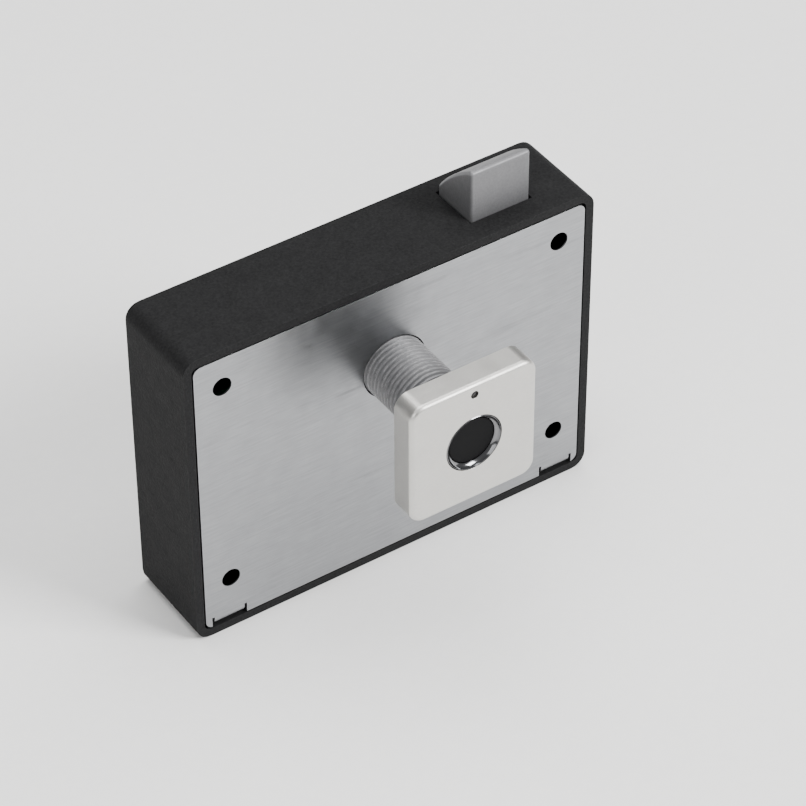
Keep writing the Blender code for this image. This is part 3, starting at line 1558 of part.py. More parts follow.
def make_draw_plate():
    """Flat plate with the pin's slot, a shelf for the spring and the rack's teeth."""
    half = BOLT_WIDTH / 2
    neck = PINION_WIDTH / 2
    neck_top = SHELF_TOP - SHELF_THICKNESS
    neck_foot = neck_top - (half - neck)
    outline = [
        (-half, DRAW_PLATE_TOP),
        (-half, neck_top),
        (-neck, neck_foot),
        (-neck, DRAW_PLATE_FOOT),
        (neck, DRAW_PLATE_FOOT),
        (neck, neck_foot),
        (half, neck_top),
        (half, DRAW_PLATE_TOP),
    ]
    slot_radius = PIN_DIAMETER / 2 + CLEARANCE
    slot = arc((0.0, PIN_Z), slot_radius, 0.0, 180.0, SMALL_SIDES // 2)
    slot += arc((0.0, PIN_Z - THROW), slot_radius, 180.0, 360.0, SMALL_SIDES // 2)
    middle = DRAW_PLATE_FRONT + DRAW_PLATE_THICKNESS / 2
    draw = plate("draw_plate", [outline, slot], DRAW_PLATE_THICKNESS, (BOLT_X, middle, 0.0))
    shelf_rear = BOLT_REAR - CLEARANCE
    shelf = box(
        "spring_shelf",
        (BOLT_X - SHELF_HALF_WIDTH, middle, SHELF_TOP - SHELF_THICKNESS),
        (BOLT_X + SHELF_HALF_WIDTH, shelf_rear, SHELF_TOP),
    )
    nub = rod(
        "spring_nub",
        (BOLT_X, BOLT_Y, SHELF_TOP - SHELF_THICKNESS / 2),
        (BOLT_X, BOLT_Y, SHELF_TOP + SHELF_NUB_HEIGHT),
        SPRING_DIAMETER / 2 - SPRING_WIRE - CLEARANCE,
        SMALL_SIDES,
    )
    join(draw, shelf, nub, make_rack(middle))
    paint(draw, ZINC, 0.4, 1.0)
    return draw


def make_rack(back):
    """Straight-sided rack teeth; a gap between two teeth faces the pinion at rest."""
    pressure = math.radians(PRESSURE_ANGLE_DEG)
    pitch = math.pi * GEAR_MODULE
    root = PITCH_LINE - GEAR_MODULE - GEAR_CLEARANCE
    tip = PITCH_LINE + RACK_ADDENDUM_SHARE * GEAR_MODULE
    half_pitch_tooth = pitch / 4 - GEAR_BACKLASH / 4
    half_tip = half_pitch_tooth - (tip - PITCH_LINE) * math.tan(pressure)
    half_root = half_pitch_tooth + (PITCH_LINE - root) * math.tan(pressure)
    foot = DRAW_PLATE_FOOT
    top = MOTOR_Z + THROW + RACK_END
    outline = [(back, foot), (root, foot)]
    first = math.ceil((foot + half_root - MOTOR_Z) / pitch - 0.5)
    last = math.floor((top - half_root - MOTOR_Z) / pitch - 0.5)
    for tooth in range(first, last + 1):
        z = MOTOR_Z + (tooth + 0.5) * pitch
        outline += [(root, z - half_root), (tip, z - half_tip), (tip, z + half_tip), (root, z + half_root)]
    outline += [(root, top), (back, top)]
    return plate("rack", [outline], PINION_WIDTH - 2 * SEAT_GAP, (BOLT_X, 0.0, 0.0), ALONG_X)


def bulged(start, end, bulge, steps):
    """Points on a shallow arc from start to end that swells to the right of the way between them."""
    start, end = Vector(start), Vector(end)
    chord = end - start
    radius = chord.length_squared / (8 * bulge) + bulge / 2
    outwards = Vector((chord.y, -chord.x)).normalized()
    centre = (start + end) / 2 - outwards * (radius - bulge)
    first = math.degrees(math.atan2(start.y - centre.y, start.x - centre.x))
    last = math.degrees(math.atan2(end.y - centre.y, end.x - centre.x))
    return arc(centre, radius, first, last, steps)


def make_latch_bolt():
    """Latch bolt: flat towards the panel, swelling bevel at the back, pocket for the spring below."""
    half = BOLT_DEPTH / 2
    length = BOLT_TOP - BOLT_BOTTOM
    heel = (half, TOP + BOLT_HEEL - BOLT_BOTTOM)
    tip = (BOLT_TIP_LAND + BOLT_EDGE_RADIUS - half, length)
    outline = [(-half, 0.0), (half, 0.0)]
    outline += bulged(heel, tip, BOLT_BULGE, BOLT_ARC_STEPS)
    outline.append((-half, length))
    bolt = plate("latch_bolt", [outline], BOLT_WIDTH, (BOLT_X, BOLT_Y, BOLT_BOTTOM), ALONG_X)
    bevel(bolt, BOLT_EDGE_RADIUS, 2)
    pocket = rod(
        "spring_pocket",
        (BOLT_X, BOLT_Y, BOLT_BOTTOM - OVERRUN),
        (BOLT_X, BOLT_Y, BOLT_BOTTOM + SPRING_POCKET_DEPTH),
        SPRING_POCKET_DIAMETER / 2,
        SMALL_SIDES,
    )
    pin_hole = rod(
        "pin_hole",
        (BOLT_X, BOLT_FRONT - OVERRUN, PIN_Z),
        (BOLT_X, BOLT_FRONT + PIN_SET_IN_BOLT + CLEARANCE, PIN_Z),
        PIN_DIAMETER / 2 + SEAT_GAP,
        SMALL_SIDES,
    )
    cut(bolt, pocket, pin_hole)
    paint(bolt, ZINC, 0.36, 1.0)
    return bolt


def make_latch_pin():
    """Steel pin in the bolt that rides in the draw plate's slot."""
    pin = rod(
        "latch_pin",
        (BOLT_X, DRAW_PLATE_FRONT + SEAT_GAP, PIN_Z),
        (BOLT_X, BOLT_FRONT + PIN_SET_IN_BOLT, PIN_Z),
        PIN_DIAMETER / 2,
        SMALL_SIDES,
    )
    paint(pin, POLISHED_STEEL, 0.2, 1.0)
    return pin


def make_latch_spring():
    """Coil spring that pushes the bolt up from the draw plate's shelf."""
    radius = (SPRING_DIAMETER - SPRING_WIRE) / 2
    height = SPRING_TOP - SPRING_FOOT - SPRING_WIRE
    points = helix((BOLT_X, BOLT_Y), SPRING_FOOT + SPRING_WIRE / 2, height, radius, radius, SPRING_TURNS)
    print("least gap in the latch spring:", round(coil_gap(height, SPRING_TURNS, SPRING_WIRE), 5))
    spring = tube("latch_spring", points, SPRING_WIRE)
    paint(spring, POLISHED_STEEL, 0.25, 1.0)
    return spring


def build_reader():
    """The pieces on the outside of the panel and the stem that passes through it."""
    make_reader_bezel()
    make_sensor_ring()
    make_fingerprint_sensor()
    make_status_light()
    make_reader_board()
    make_reader_stem()
    make_reader_gasket()
    make_stem_nut()


def build_body():
    """The body, its plate, its boards and what fastens them."""
    make_housing()
    make_base_plate()
    make_housing_screws()
    make_main_board()
    make_board_chips()
    make_board_screws()
    make_set_switch()
    make_cable_socket()
    make_reader_cable()


def build_battery():
    """Cells, contacts, springs, cover and the setting button."""
    for i, (x, nub_up) in enumerate(cell_facts()):
        make_cell(i + 1, x, nub_up)
    make_battery_springs()
    make_battery_contacts()
    cover_frame = frame("cover_frame", ((BAY_LEFT + BAY_RIGHT) / 2, REAR, WELL_Z))
    carry(cover_frame, make_battery_cover())
    button_frame = frame("button_frame", (SWITCH_X, WELL_FACE, WELL_Z))
    carry(button_frame, make_set_button())


def build_drive():
    """Motor, gearbox and pinion, and the clamp that holds them."""
    make_motor()
    make_gearbox()
    make_motor_clamp()
    make_clamp_screws()
    make_motor_leads()
    pinion_frame = frame("pinion_frame", (PINION_X, MOTOR_Y, MOTOR_Z))
    carry(pinion_frame, make_motor_shaft(), make_pinion())


def build_latch():
    """Draw plate, bolt, pin and spring."""
    draw_frame = frame("draw_frame", (BOLT_X, DRAW_PLATE_FRONT, DRAW_PLATE_TOP))
    carry(draw_frame, make_draw_plate(), make_latch_spring())
    latch_frame = frame("latch_frame", (BOLT_X, BOLT_Y, BOLT_BOTTOM))
    carry(latch_frame, make_latch_bolt(), make_latch_pin())


build_reader()
build_body()
build_battery()
build_drive()
build_latch()
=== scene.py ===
"""Looks of an electronic cabinet lock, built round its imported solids.

The lock stands as it hangs on a drawer front: reader in front, body behind, bolt at the top.
Lengths are in metres. X is to the right, Y points into the drawer and Z is up.
"""

import logging
import math
from collections.abc import Sequence
from dataclasses import dataclass
from enum import Enum
from functools import cache

import bmesh
import bpy
from mathutils import Matrix, Vector


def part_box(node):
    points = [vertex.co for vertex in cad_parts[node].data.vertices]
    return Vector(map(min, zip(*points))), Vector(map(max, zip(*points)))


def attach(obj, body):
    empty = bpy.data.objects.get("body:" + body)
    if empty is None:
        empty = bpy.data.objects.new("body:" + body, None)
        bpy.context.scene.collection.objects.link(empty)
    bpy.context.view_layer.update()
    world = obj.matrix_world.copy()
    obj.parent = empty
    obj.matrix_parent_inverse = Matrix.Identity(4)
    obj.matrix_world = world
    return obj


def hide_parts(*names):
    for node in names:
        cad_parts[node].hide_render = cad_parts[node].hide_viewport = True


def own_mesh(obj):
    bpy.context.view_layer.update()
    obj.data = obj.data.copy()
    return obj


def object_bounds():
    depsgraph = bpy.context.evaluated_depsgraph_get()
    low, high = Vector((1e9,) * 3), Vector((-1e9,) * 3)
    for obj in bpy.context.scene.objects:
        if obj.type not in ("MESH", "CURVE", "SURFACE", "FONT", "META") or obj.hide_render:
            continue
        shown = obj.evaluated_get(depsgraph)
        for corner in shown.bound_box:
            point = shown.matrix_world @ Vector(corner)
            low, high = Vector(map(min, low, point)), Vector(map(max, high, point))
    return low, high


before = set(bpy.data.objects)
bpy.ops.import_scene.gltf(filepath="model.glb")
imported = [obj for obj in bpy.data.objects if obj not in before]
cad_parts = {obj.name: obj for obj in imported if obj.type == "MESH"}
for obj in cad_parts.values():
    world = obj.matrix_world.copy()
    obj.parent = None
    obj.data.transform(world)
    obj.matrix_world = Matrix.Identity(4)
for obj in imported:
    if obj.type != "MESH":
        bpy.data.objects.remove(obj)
CAD_BOX = [list(corner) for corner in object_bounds()]

LOG = logging.getLogger("cabinet_lock")
MM = 0.001

# Points round large, middling and small circles
FINE = 96
ROUND = 48
SMALL = 24

# Edges shorter than this are taken out after a cut
TINY = 0.0015 * MM

# Usual width of a softened edge
EASED = 0.08 * MM

COAT_ROUGHNESS = 0.12
WORN_SHARE = 0.6

Point = tuple[float, float]
Colour = tuple[float, float, float]
Triple = tuple[float, float, float]
Piece = bpy.types.Object
Tree = bpy.types.NodeTree
Socket = bpy.types.NodeSocket


class Axis(Enum):
    """Direction in which an outline gets its thickness, or about which a profile turns."""

    X = "x"
    Y = "y"
    Z = "z"

    def place(self, u: float, v: float, along: float) -> Vector:
        """Put a point of an outline where it belongs.

        Args:
            u: first coordinate across the axis.
            v: second coordinate across the axis.
            along: coordinate along the axis.

        Returns:
            The point in the lock's frame.
        """
        if self is Axis.X:
            return Vector((along, u, v))
        if self is Axis.Y:
            return Vector((u, along, v))
        return Vector((u, v, along))


# Outlines


def arc(centre: Point, radius: float, start: float, end: float, steps: int) -> list[Point]:
    """Points along an arc, both ends included.

    Args:
        centre: middle of the arc.
        radius: its radius.
        start: first angle in degrees.
        end: last angle in degrees.
        steps: number of straight steps.

    Returns:
        The points in order.
    """
    angles = [math.radians(start + (end - start) * i / steps) for i in range(steps + 1)]
    return [(centre[0] + radius * math.cos(a), centre[1] + radius * math.sin(a)) for a in angles]


def circle(centre: Point, radius: float, sides: int = ROUND) -> list[Point]:
    """Points round a full circle.

    Args:
        centre: middle of the circle.
        radius: its radius.
        sides: number of points.

    Returns:
        The points in order.
    """
    return arc(centre, radius, 0.0, 360.0, sides)[:-1]


def dome(radius: float, crown: float, drop: float, angles: Sequence[float]) -> list[Point]:
    """Profile of a low dome about an axis.

    Args:
        radius: its radius.
        crown: place of its crown along the axis.
        drop: way from the crown to the rim.
        angles: where the points lie, in degrees from the crown.

    Returns:
        The points from the crown to the rim.
    """
    bends = [math.radians(angle) for angle in angles]
    return [(radius * math.sin(bend), crown + drop * (1 - math.cos(bend))) for bend in bends]


def rounded(low: Point, high: Point, corner: float, steps: int = 8) -> list[Point]:
    """Outline of a rectangle with round corners.

    Args:
        low: lower left corner.
        high: upper right corner.
        corner: radius of the corners.
        steps: straight steps in each corner.

    Returns:
        The points in order.
    """
    left, bottom = low[0] + corner, low[1] + corner
    right, top = high[0] - corner, high[1] - corner
    outline: list[Point] = []
    for i, centre in enumerate(((right, top), (left, top), (left, bottom), (right, bottom))):
        outline += arc(centre, corner, 90.0 * i, 90.0 * (i + 1), steps)
    return outline


def inset(outline: Sequence[Point], amount: float) -> list[Point]:
    """Move every side of a convex outline inwards.

    Args:
        outline: the points in order, counterclockwise.
        amount: how far each side moves.

    Returns:
        The new points, as many as before.
    """
    points = [Vector(point) for point in outline]
    moved: list[Point] = []
    for i, point in enumerate(points):
        before = (point - points[i - 1]).orthogonal().normalized()
        after = (points[(i + 1) % len(points)] - point).orthogonal().normalized()
        moved.append(tuple(point + (before + after) * amount / (1.0 + before.dot(after))))
    return moved


# Solids


def finished(shape: bmesh.types.BMesh, name: str) -> Piece:
    """Make an object of a bmesh, its faces pointing outwards.

    Args:
        shape: the bmesh, which is used up.
        name: its name.

    Returns:
        The object, in the scene.
    """
    bmesh.ops.recalc_face_normals(shape, faces=shape.faces)
    mesh = bpy.data.meshes.new(name)
    shape.to_mesh(mesh)
    shape.free()
    piece = bpy.data.objects.new(name, mesh)
    bpy.context.scene.collection.objects.link(piece)
    return piece


def loft(name: str, rings: Sequence[Sequence[Vector]], loop: bool = False) -> Piece:
    """Skin over rings that all have the same number of points.

    Args:
        name: its name.
        rings: the rings in order.
        loop: whether the last ring joins the first, instead of a face closing each end.

    Returns:
        The object.
    """
    shape = bmesh.new()
    rows = [[shape.verts.new(point) for point in ring] for ring in rings]
    for near, far in zip(rows, rows[1:] + rows[:1] if loop else rows[1:]):
        for i in range(len(near)):
            shape.faces.new((near[i - 1], near[i], far[i], far[i - 1]))
    if not loop:
        shape.faces.new(rows[0])
        shape.faces.new(rows[-1])
    return finished(shape, name)


def turned(
    name: str, profile: Sequence[Point], axis: Axis,
    centre: Point = (0.0, 0.0), sides: int = FINE, loop: bool = False,
) -> Piece:
    """Turn a profile of (radius, place along the axis) points about an axis.

    Args:
        name: its name.
        profile: the points in order, each with a radius above nothing.
        axis: the axis it turns about.
        centre: where the axis passes, across its own direction.
        sides: points round the circle.
        loop: whether the profile closes on itself, as for a ring.

    Returns:
        The object, its origin on the axis.
    """
    rings = []
    for radius, along in profile:
        rings.append([axis.place(u, v, along) for u, v in circle((0.0, 0.0), radius, sides)])
    piece = loft(name, rings, loop)
    piece.location = axis.place(centre[0], centre[1], 0.0)
    return piece


def prism(name: str, outlines: Sequence[Sequence[Point]], low: float, high: float, axis: Axis) -> Piece:
    """Flat piece from its outline and the outlines of its holes.

    Args:
        name: its name.
        outlines: the outer outline, then any holes.
        low: where it starts along the axis.
        high: where it ends along the axis.
        axis: direction of its thickness.

    Returns:
        The object.
    """
    shape = bmesh.new()
    for outline in outlines:
        points = [shape.verts.new(axis.place(u, v, low)) for u, v in outline]
        for i in range(len(points)):
            shape.edges.new((points[i - 1], points[i]))
    bmesh.ops.triangle_fill(shape, use_beauty=True, edges=shape.edges[:])
    made = bmesh.ops.extrude_face_region(shape, geom=shape.faces[:])
    moved = [part for part in made["geom"] if isinstance(part, bmesh.types.BMVert)]
    bmesh.ops.translate(shape, vec=axis.place(0.0, 0.0, high - low), verts=moved)
    return finished(shape, name)


def brick(name: str, low: Triple, high: Triple) -> Piece:
    """Straight-edged cutter between two corners.

    Args:
        name: its name.
        low: lowest corner.
        high: highest corner.

    Returns:
        The object.
    """
    outline = [(low[0], low[1]), (high[0], low[1]), (high[0], high[1]), (low[0], high[1])]
    return prism(name, [outline], low[2], high[2], Axis.Z)


def wire(name: str, path: Sequence[Vector], radius: float, sides: int = 12) -> Piece:
    """Round wire along a path.

    Args:
        name: its name.
        path: the points of its middle line.
        radius: half its thickness.
        sides: points round it.

    Returns:
        The object.
    """
    side = (path[1] - path[0]).orthogonal().normalized()
    rings = []
    for i, point in enumerate(path):
        ahead = (path[min(i + 1, len(path) - 1)] - path[max(i - 1, 0)]).normalized()
        side = (side - ahead * side.dot(ahead)).normalized()
        other = ahead.cross(side)
        rings.append([point + side * u + other * v for u, v in circle((0.0, 0.0), radius, sides)])
    return loft(name, rings)


def carve(piece: Piece, tool: Piece, operation: str = "DIFFERENCE") -> None:
    """Cut a tool out of a piece, or fuse it on, and remove the tool.

    Args:
        piece: the piece.
        tool: the solid that is taken away or added.
        operation: name of the Boolean operation.
    """
    step = piece.modifiers.new("carve", "BOOLEAN")
    step.operation = operation
    step.solver = "EXACT"
    step.object = tool
    bpy.context.view_layer.update()
    evaluated = piece.evaluated_get(bpy.context.evaluated_depsgraph_get())
    shape = bmesh.new()
    shape.from_mesh(evaluated.to_mesh())
    evaluated.to_mesh_clear()
    bmesh.ops.dissolve_degenerate(shape, dist=TINY, edges=shape.edges)
    piece.modifiers.clear()
    shape.to_mesh(piece.data)
    shape.free()
    bpy.data.objects.remove(tool)


def drill(
    piece: Piece, axis: Axis, radius: float, low: float, high: float,
    centre: Point = (0.0, 0.0), sides: int = FINE,
) -> None:
    """Cut a round hole.

    Args:
        piece: the piece.
        axis: direction of the hole.
        radius: its radius.
        low: where it starts along the axis.
        high: where it ends.
        centre: where it is, across the axis.
        sides: points round it.
    """
    carve(piece, turned("drill", [(radius, low), (radius, high)], axis, centre, sides))


def refined(node: str, name: str) -> Piece:
    """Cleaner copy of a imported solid, ready for softened edges.

    Args:
        node: the solid's name.
        name: its name.

    Returns:
        The object.
    """
    shape = bmesh.new()
    shape.from_mesh(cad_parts[node].data)
    bmesh.ops.remove_doubles(shape, verts=shape.verts, dist=2e-6)
    bmesh.ops.dissolve_limit(shape, angle_limit=math.radians(0.2), verts=shape.verts, edges=shape.edges)
    return finished(shape, name)


def soften(piece: Piece, width: float, steps: int = 2, limit: float = 38.0) -> None:
    """Round the sharp edges a little and shade the rest smooth.

    Args:
        piece: the piece.
        width: width of the rounding.
        steps: faces across it.
        limit: least angle of an edge that counts as sharp, in degrees.
    """
    angle = math.radians(limit)
    piece.data.shade_smooth()
    piece.data.set_sharp_from_angle(angle=angle)
    if width:
        bevel = piece.modifiers.new("softened edges", "BEVEL")
        bevel.width = width
        bevel.segments = steps
        bevel.limit_method = "ANGLE"
        bevel.angle_limit = angle
    normals = piece.modifiers.new("flat faces stay flat", "WEIGHTED_NORMAL")
    normals.keep_sharp = True


# Shader nodes


def add(tree: Tree, kind: str, feeds: dict | None = None, **settings: object) -> bpy.types.Node:
    """Add a node, set it and feed its sockets.

    Args:
        tree: the node tree.
        kind: the node's type without its prefix, or the name of a node group.
        feeds: input sockets by name or number, each with a value or an output socket.
        settings: the node's own properties.

    Returns:
        The new node.
    """
    group = bpy.data.node_groups.get(kind)
    node = tree.nodes.new("ShaderNodeGroup" if group else "ShaderNode" + kind)
    if group:
        node.node_tree = group
    for key, value in settings.items():
        setattr(node, key, value)
    for key, value in (feeds or {}).items():
        if isinstance(value, Socket):
            tree.links.new(value, node.inputs[key])
        else:
            node.inputs[key].default_value = value
    return node


def new_group(
    name: str, inputs: dict[str, float | None], output: str,
) -> tuple[Tree, bpy.types.NodeOutputs, Socket]:
    """Start a shader node group with named sockets.

    Args:
        name: name of the group.
        inputs: input sockets with their default values; None stands for a vector.
        output: name of its one output socket, a plain number.

    Returns:
        The group, the sockets it reads from and the one it writes to.
    """
    tree = bpy.data.node_groups.new(name, "ShaderNodeTree")
    for socket, default in inputs.items():
        kind = "NodeSocketVector" if default is None else "NodeSocketFloat"
        made = tree.interface.new_socket(name=socket, in_out="INPUT", socket_type=kind)
        if default is not None:
            made.default_value = default
    tree.interface.new_socket(name=output, in_out="OUTPUT", socket_type="NodeSocketFloat")
    source = tree.nodes.new("NodeGroupInput")
    result = tree.nodes.new("NodeGroupOutput")
    return tree, source.outputs, result.inputs[output]


def join(tree: Tree, operation: str, first: Socket, second: Socket | float, clamp: bool = False) -> Socket:
    """Join two values with a Math node.

    Args:
        tree: the node tree.
        operation: what the node does with them.
        first: first value.
        second: second value.
        clamp: whether the result stays between nothing and one.

    Returns:
        The result's socket.
    """
    return add(tree, "Math", {0: first, 1: second}, operation=operation, use_clamp=clamp).outputs[0]


def ramp(tree: Tree, value: Socket, start: float, end: float) -> Socket:
    """Mask that goes from nothing to one between two values.

    Args:
        tree: the node tree.
        value: what the mask follows.
        start: the value where the mask is nothing.
        end: the value where it is one.

    Returns:
        The mask's socket.
    """
    return add(tree, "MapRange", {"Value": value, "From Min": start, "From Max": end}).outputs[0]


def tinted(tree: Tree, mask: Socket, colour: Socket | tuple, other: Colour) -> Socket:
    """Lay another colour over a colour.

    Args:
        tree: the node tree.
        mask: where the other colour lies.
        colour: the colour below.
        other: the colour above.

    Returns:
        The mixed colour's socket.
    """
    return add(tree, "Mix", {0: mask, 6: colour, 7: (*other, 1.0)}, data_type="RGBA").outputs[2]


def make_grain_group() -> None:
    """Fine uneven grain: a value between nothing and one, sharper with more contrast."""
    tree, source, result = new_group("grain", {"Vector": None, "Scale": 1000.0, "Contrast": 1.0}, "Value")
    feeds = {"Vector": source["Vector"], "Scale": source["Scale"], "Detail": 3.0, "Roughness": 0.6}
    centred = join(tree, "SUBTRACT", add(tree, "TexNoise", feeds).outputs["Fac"], 0.5)
    spread = join(tree, "MULTIPLY", centred, source["Contrast"])
    tree.links.new(join(tree, "ADD", spread, 0.5, clamp=True), result)


def make_wear_group() -> None:
    """Rubbed edges: a mask where a rounded copy of the surface would lean away, broken up by grain."""
    tree, source, result = new_group("edge wear", {"Vector": None, "Amount": 0.5, "Reach": 0.25 * MM}, "Mask")
    normal = add(tree, "NewGeometry").outputs["Normal"]
    rounder = add(tree, "Bevel", {"Radius": source["Reach"]}, samples=4).outputs[0]
    lean = add(tree, "VectorMath", {0: normal, 1: rounder}, operation="DOT_PRODUCT").outputs["Value"]
    breaks = add(tree, "grain", {"Vector": source["Vector"], "Scale": 900.0, "Contrast": 3.0}).outputs[0]
    broken = join(tree, "MULTIPLY", ramp(tree, lean, 0.995, 0.90), breaks)
    tree.links.new(join(tree, "MULTIPLY", broken, source["Amount"], clamp=True), result)


def make_scratch_group() -> None:
    """Hairline scratches: the highest ridges of a noise drawn out into long thin dashes."""
    tree, source, result = new_group("hairlines", {"Vector": None, "Scale": 700.0, "Amount": 0.3}, "Mask")
    feeds = {"Vector": source["Vector"], "Scale": (0.04, 1.0, 1.0), "Rotation": (0.2, 0.5, 0.1)}
    long_way = add(tree, "Mapping", feeds).outputs[0]
    feeds = {"Vector": long_way, "Scale": source["Scale"], "Detail": 0.0}
    noise = add(tree, "TexNoise", feeds).outputs["Fac"]
    patches = add(tree, "grain", {"Vector": source["Vector"], "Scale": 60.0, "Contrast": 4.0}).outputs[0]
    broken = join(tree, "MULTIPLY", ramp(tree, noise, 0.70, 0.78), patches)
    tree.links.new(join(tree, "MULTIPLY", broken, source["Amount"], clamp=True), result)


class Pattern(Enum):
    """What a finish shows besides its grain."""

    PLAIN = "plain"
    LATHE_LINES = "lathe lines"
    BOARD_TRACKS = "board tracks"
    CELL_BANDS = "cell bands"
    CABLE_STRIPES = "cable stripes"


@dataclass(frozen=True)
class Finish:
    """A surface: two close colours, a grain with its depth, and how it wears."""

    name: str
    slot: str
    colour: Colour
    mottled: Colour
    roughness: float
    swing: float
    grain: float
    depth: float
    metallic: float = 0.0
    stretch: Triple = (1.0, 1.0, 1.0)
    coat: float = 0.0
    specular: float = 0.5
    wear: float = 0.0
    worn: Colour = (0.5, 0.5, 0.5)
    scratches: float = 0.0
    pattern: Pattern = Pattern.PLAIN
    pattern_colour: Colour = (0.5, 0.5, 0.5)
    pattern_size: float = 1.0 * MM


def pattern_mask(tree: Tree, finish: Finish, vector: Socket) -> Socket | None:
    """Mask of the finish's pattern.

    Args:
        tree: the node tree.
        finish: the finish that is built.
        vector: the coordinates it is laid on.

    Returns:
        The mask's socket, or None where the finish has no pattern.
    """
    scale = 1.0 / finish.pattern_size
    if finish.pattern is Pattern.LATHE_LINES:
        feeds = {"Vector": vector, "Scale": scale / 20.0, "Distortion": 0.4, "Detail": 2.0}
        return add(tree, "TexWave", feeds, wave_type="RINGS", rings_direction="Y").outputs["Fac"]
    if finish.pattern is Pattern.BOARD_TRACKS:
        feeds = {"Vector": vector, "Scale": scale, "Randomness": 0.6}
        cells = add(tree, "TexVoronoi", feeds, distance="MANHATTAN", feature="DISTANCE_TO_EDGE")
        return ramp(tree, cells.outputs["Distance"], 0.06, 0.09)
    if finish.pattern is Pattern.PLAIN:
        return None
    up = add(tree, "SeparateXYZ", {"Vector": vector}).outputs["Z"]
    if finish.pattern is Pattern.CELL_BANDS:
        return ramp(tree, up, finish.pattern_size, finish.pattern_size + 0.1 * MM)
    across = join(tree, "MULTIPLY", up, scale)
    wave = add(tree, "Math", {0: across}, operation="FRACT").outputs[0]
    return ramp(tree, wave, 0.42, 0.5)


@cache
def material(finish: Finish) -> bpy.types.Material:
    """Build the material of a finish, once.

    Args:
        finish: what the surface is like.

    Returns:
        The node material.
    """
    made = bpy.data.materials.new(finish.name)
    made.use_nodes = True
    tree = made.node_tree
    shader = tree.nodes["Principled BSDF"]
    shader.inputs["Metallic"].default_value = finish.metallic
    shader.inputs["Coat Weight"].default_value = finish.coat
    shader.inputs["Coat Roughness"].default_value = COAT_ROUGHNESS
    shader.inputs["Specular IOR Level"].default_value = finish.specular
    place = add(tree, "TexCoord").outputs["Object"]
    drawn = add(tree, "Mapping", {"Vector": place, "Scale": finish.stretch}).outputs[0]
    grain = add(tree, "grain", {"Vector": drawn, "Scale": 1.0 / finish.grain, "Contrast": 2.0}).outputs[0]
    cloud = add(tree, "grain", {"Vector": place, "Scale": 260.0, "Contrast": 1.8}).outputs[0]
    blend = add(tree, "Mix", {0: 0.25, 2: grain, 3: cloud}).outputs[0]
    colour = tinted(tree, blend, (*finish.colour, 1.0), finish.mottled)
    smoother, rougher = finish.roughness - finish.swing, finish.roughness + finish.swing
    roughness = add(tree, "MapRange", {"Value": cloud, "To Min": smoother, "To Max": rougher}).outputs[0]
    height = grain
    mask = pattern_mask(tree, finish, place)
    if mask is not None:
        colour = tinted(tree, mask, colour, finish.pattern_colour)
        height = join(tree, "ADD", grain, mask)
    if finish.scratches:
        lines = add(tree, "hairlines", {"Vector": place, "Amount": finish.scratches}).outputs[0]
        roughness = join(tree, "ADD", roughness, lines, clamp=True)
        height = join(tree, "SUBTRACT", height, lines)
    if finish.wear:
        rubbed = add(tree, "edge wear", {"Vector": place, "Amount": finish.wear}).outputs[0]
        colour = tinted(tree, rubbed, colour, finish.worn)
        roughness = add(tree, "Mix", {0: rubbed, 2: roughness, 3: WORN_SHARE * finish.roughness}).outputs[0]
    bump = add(tree, "Bump", {"Height": height, "Distance": finish.depth, "Strength": 1.0})
    tree.links.new(colour, shader.inputs["Base Color"])
    tree.links.new(roughness, shader.inputs["Roughness"])
    tree.links.new(bump.outputs[0], shader.inputs["Normal"])
    return made


TEXTURED_BLACK = Finish(
    "textured black plastic", "body_plastic", (0.0075, 0.0075, 0.0078), (0.0200, 0.0200, 0.0205), 0.62, 0.05,
    0.42 * MM, 0.045 * MM, specular=0.05, wear=0.30, worn=(0.045, 0.045, 0.046), scratches=0.06,
)
SATIN_NICKEL = Finish(
    "satin nickel", "reader_metal", (0.58, 0.57, 0.545), (0.50, 0.49, 0.465), 0.38, 0.05,
    0.16 * MM, 0.006 * MM, metallic=1.0, stretch=(0.2, 1.0, 1.0),
    wear=0.2, worn=(0.68, 0.67, 0.65), scratches=0.12,
)
# Polished chrome of the finger ring. Its colour is darkened as painted reflection, standing in for the dark
# surroundings the ring would mirror; the lathe lines are real.
CHROME_DARKENED_AS_REFLECTION = Finish(
    "chrome darkened as painted reflection", "polished_ring", (0.15, 0.15, 0.155), (0.11, 0.11, 0.115), 0.13, 0.04,
    0.3 * MM, 0.0008 * MM, metallic=1.0, scratches=0.06, pattern=Pattern.LATHE_LINES,
    pattern_colour=(0.18, 0.18, 0.185), pattern_size=0.12 * MM,
)
SENSOR_BLACK = Finish(
    "sensor black", "sensor_black", (0.0030, 0.0030, 0.0033), (0.0065, 0.0065, 0.0070), 0.40, 0.06,
    0.08 * MM, 0.002 * MM, specular=0.04, scratches=0.10,
)
SMOKED_LENS = Finish(
    "smoked lens", "smoked_lens", (0.0060, 0.0055, 0.0060), (0.0100, 0.0090, 0.0095), 0.14, 0.04,
    0.2 * MM, 0.001 * MM, specular=0.3,
)
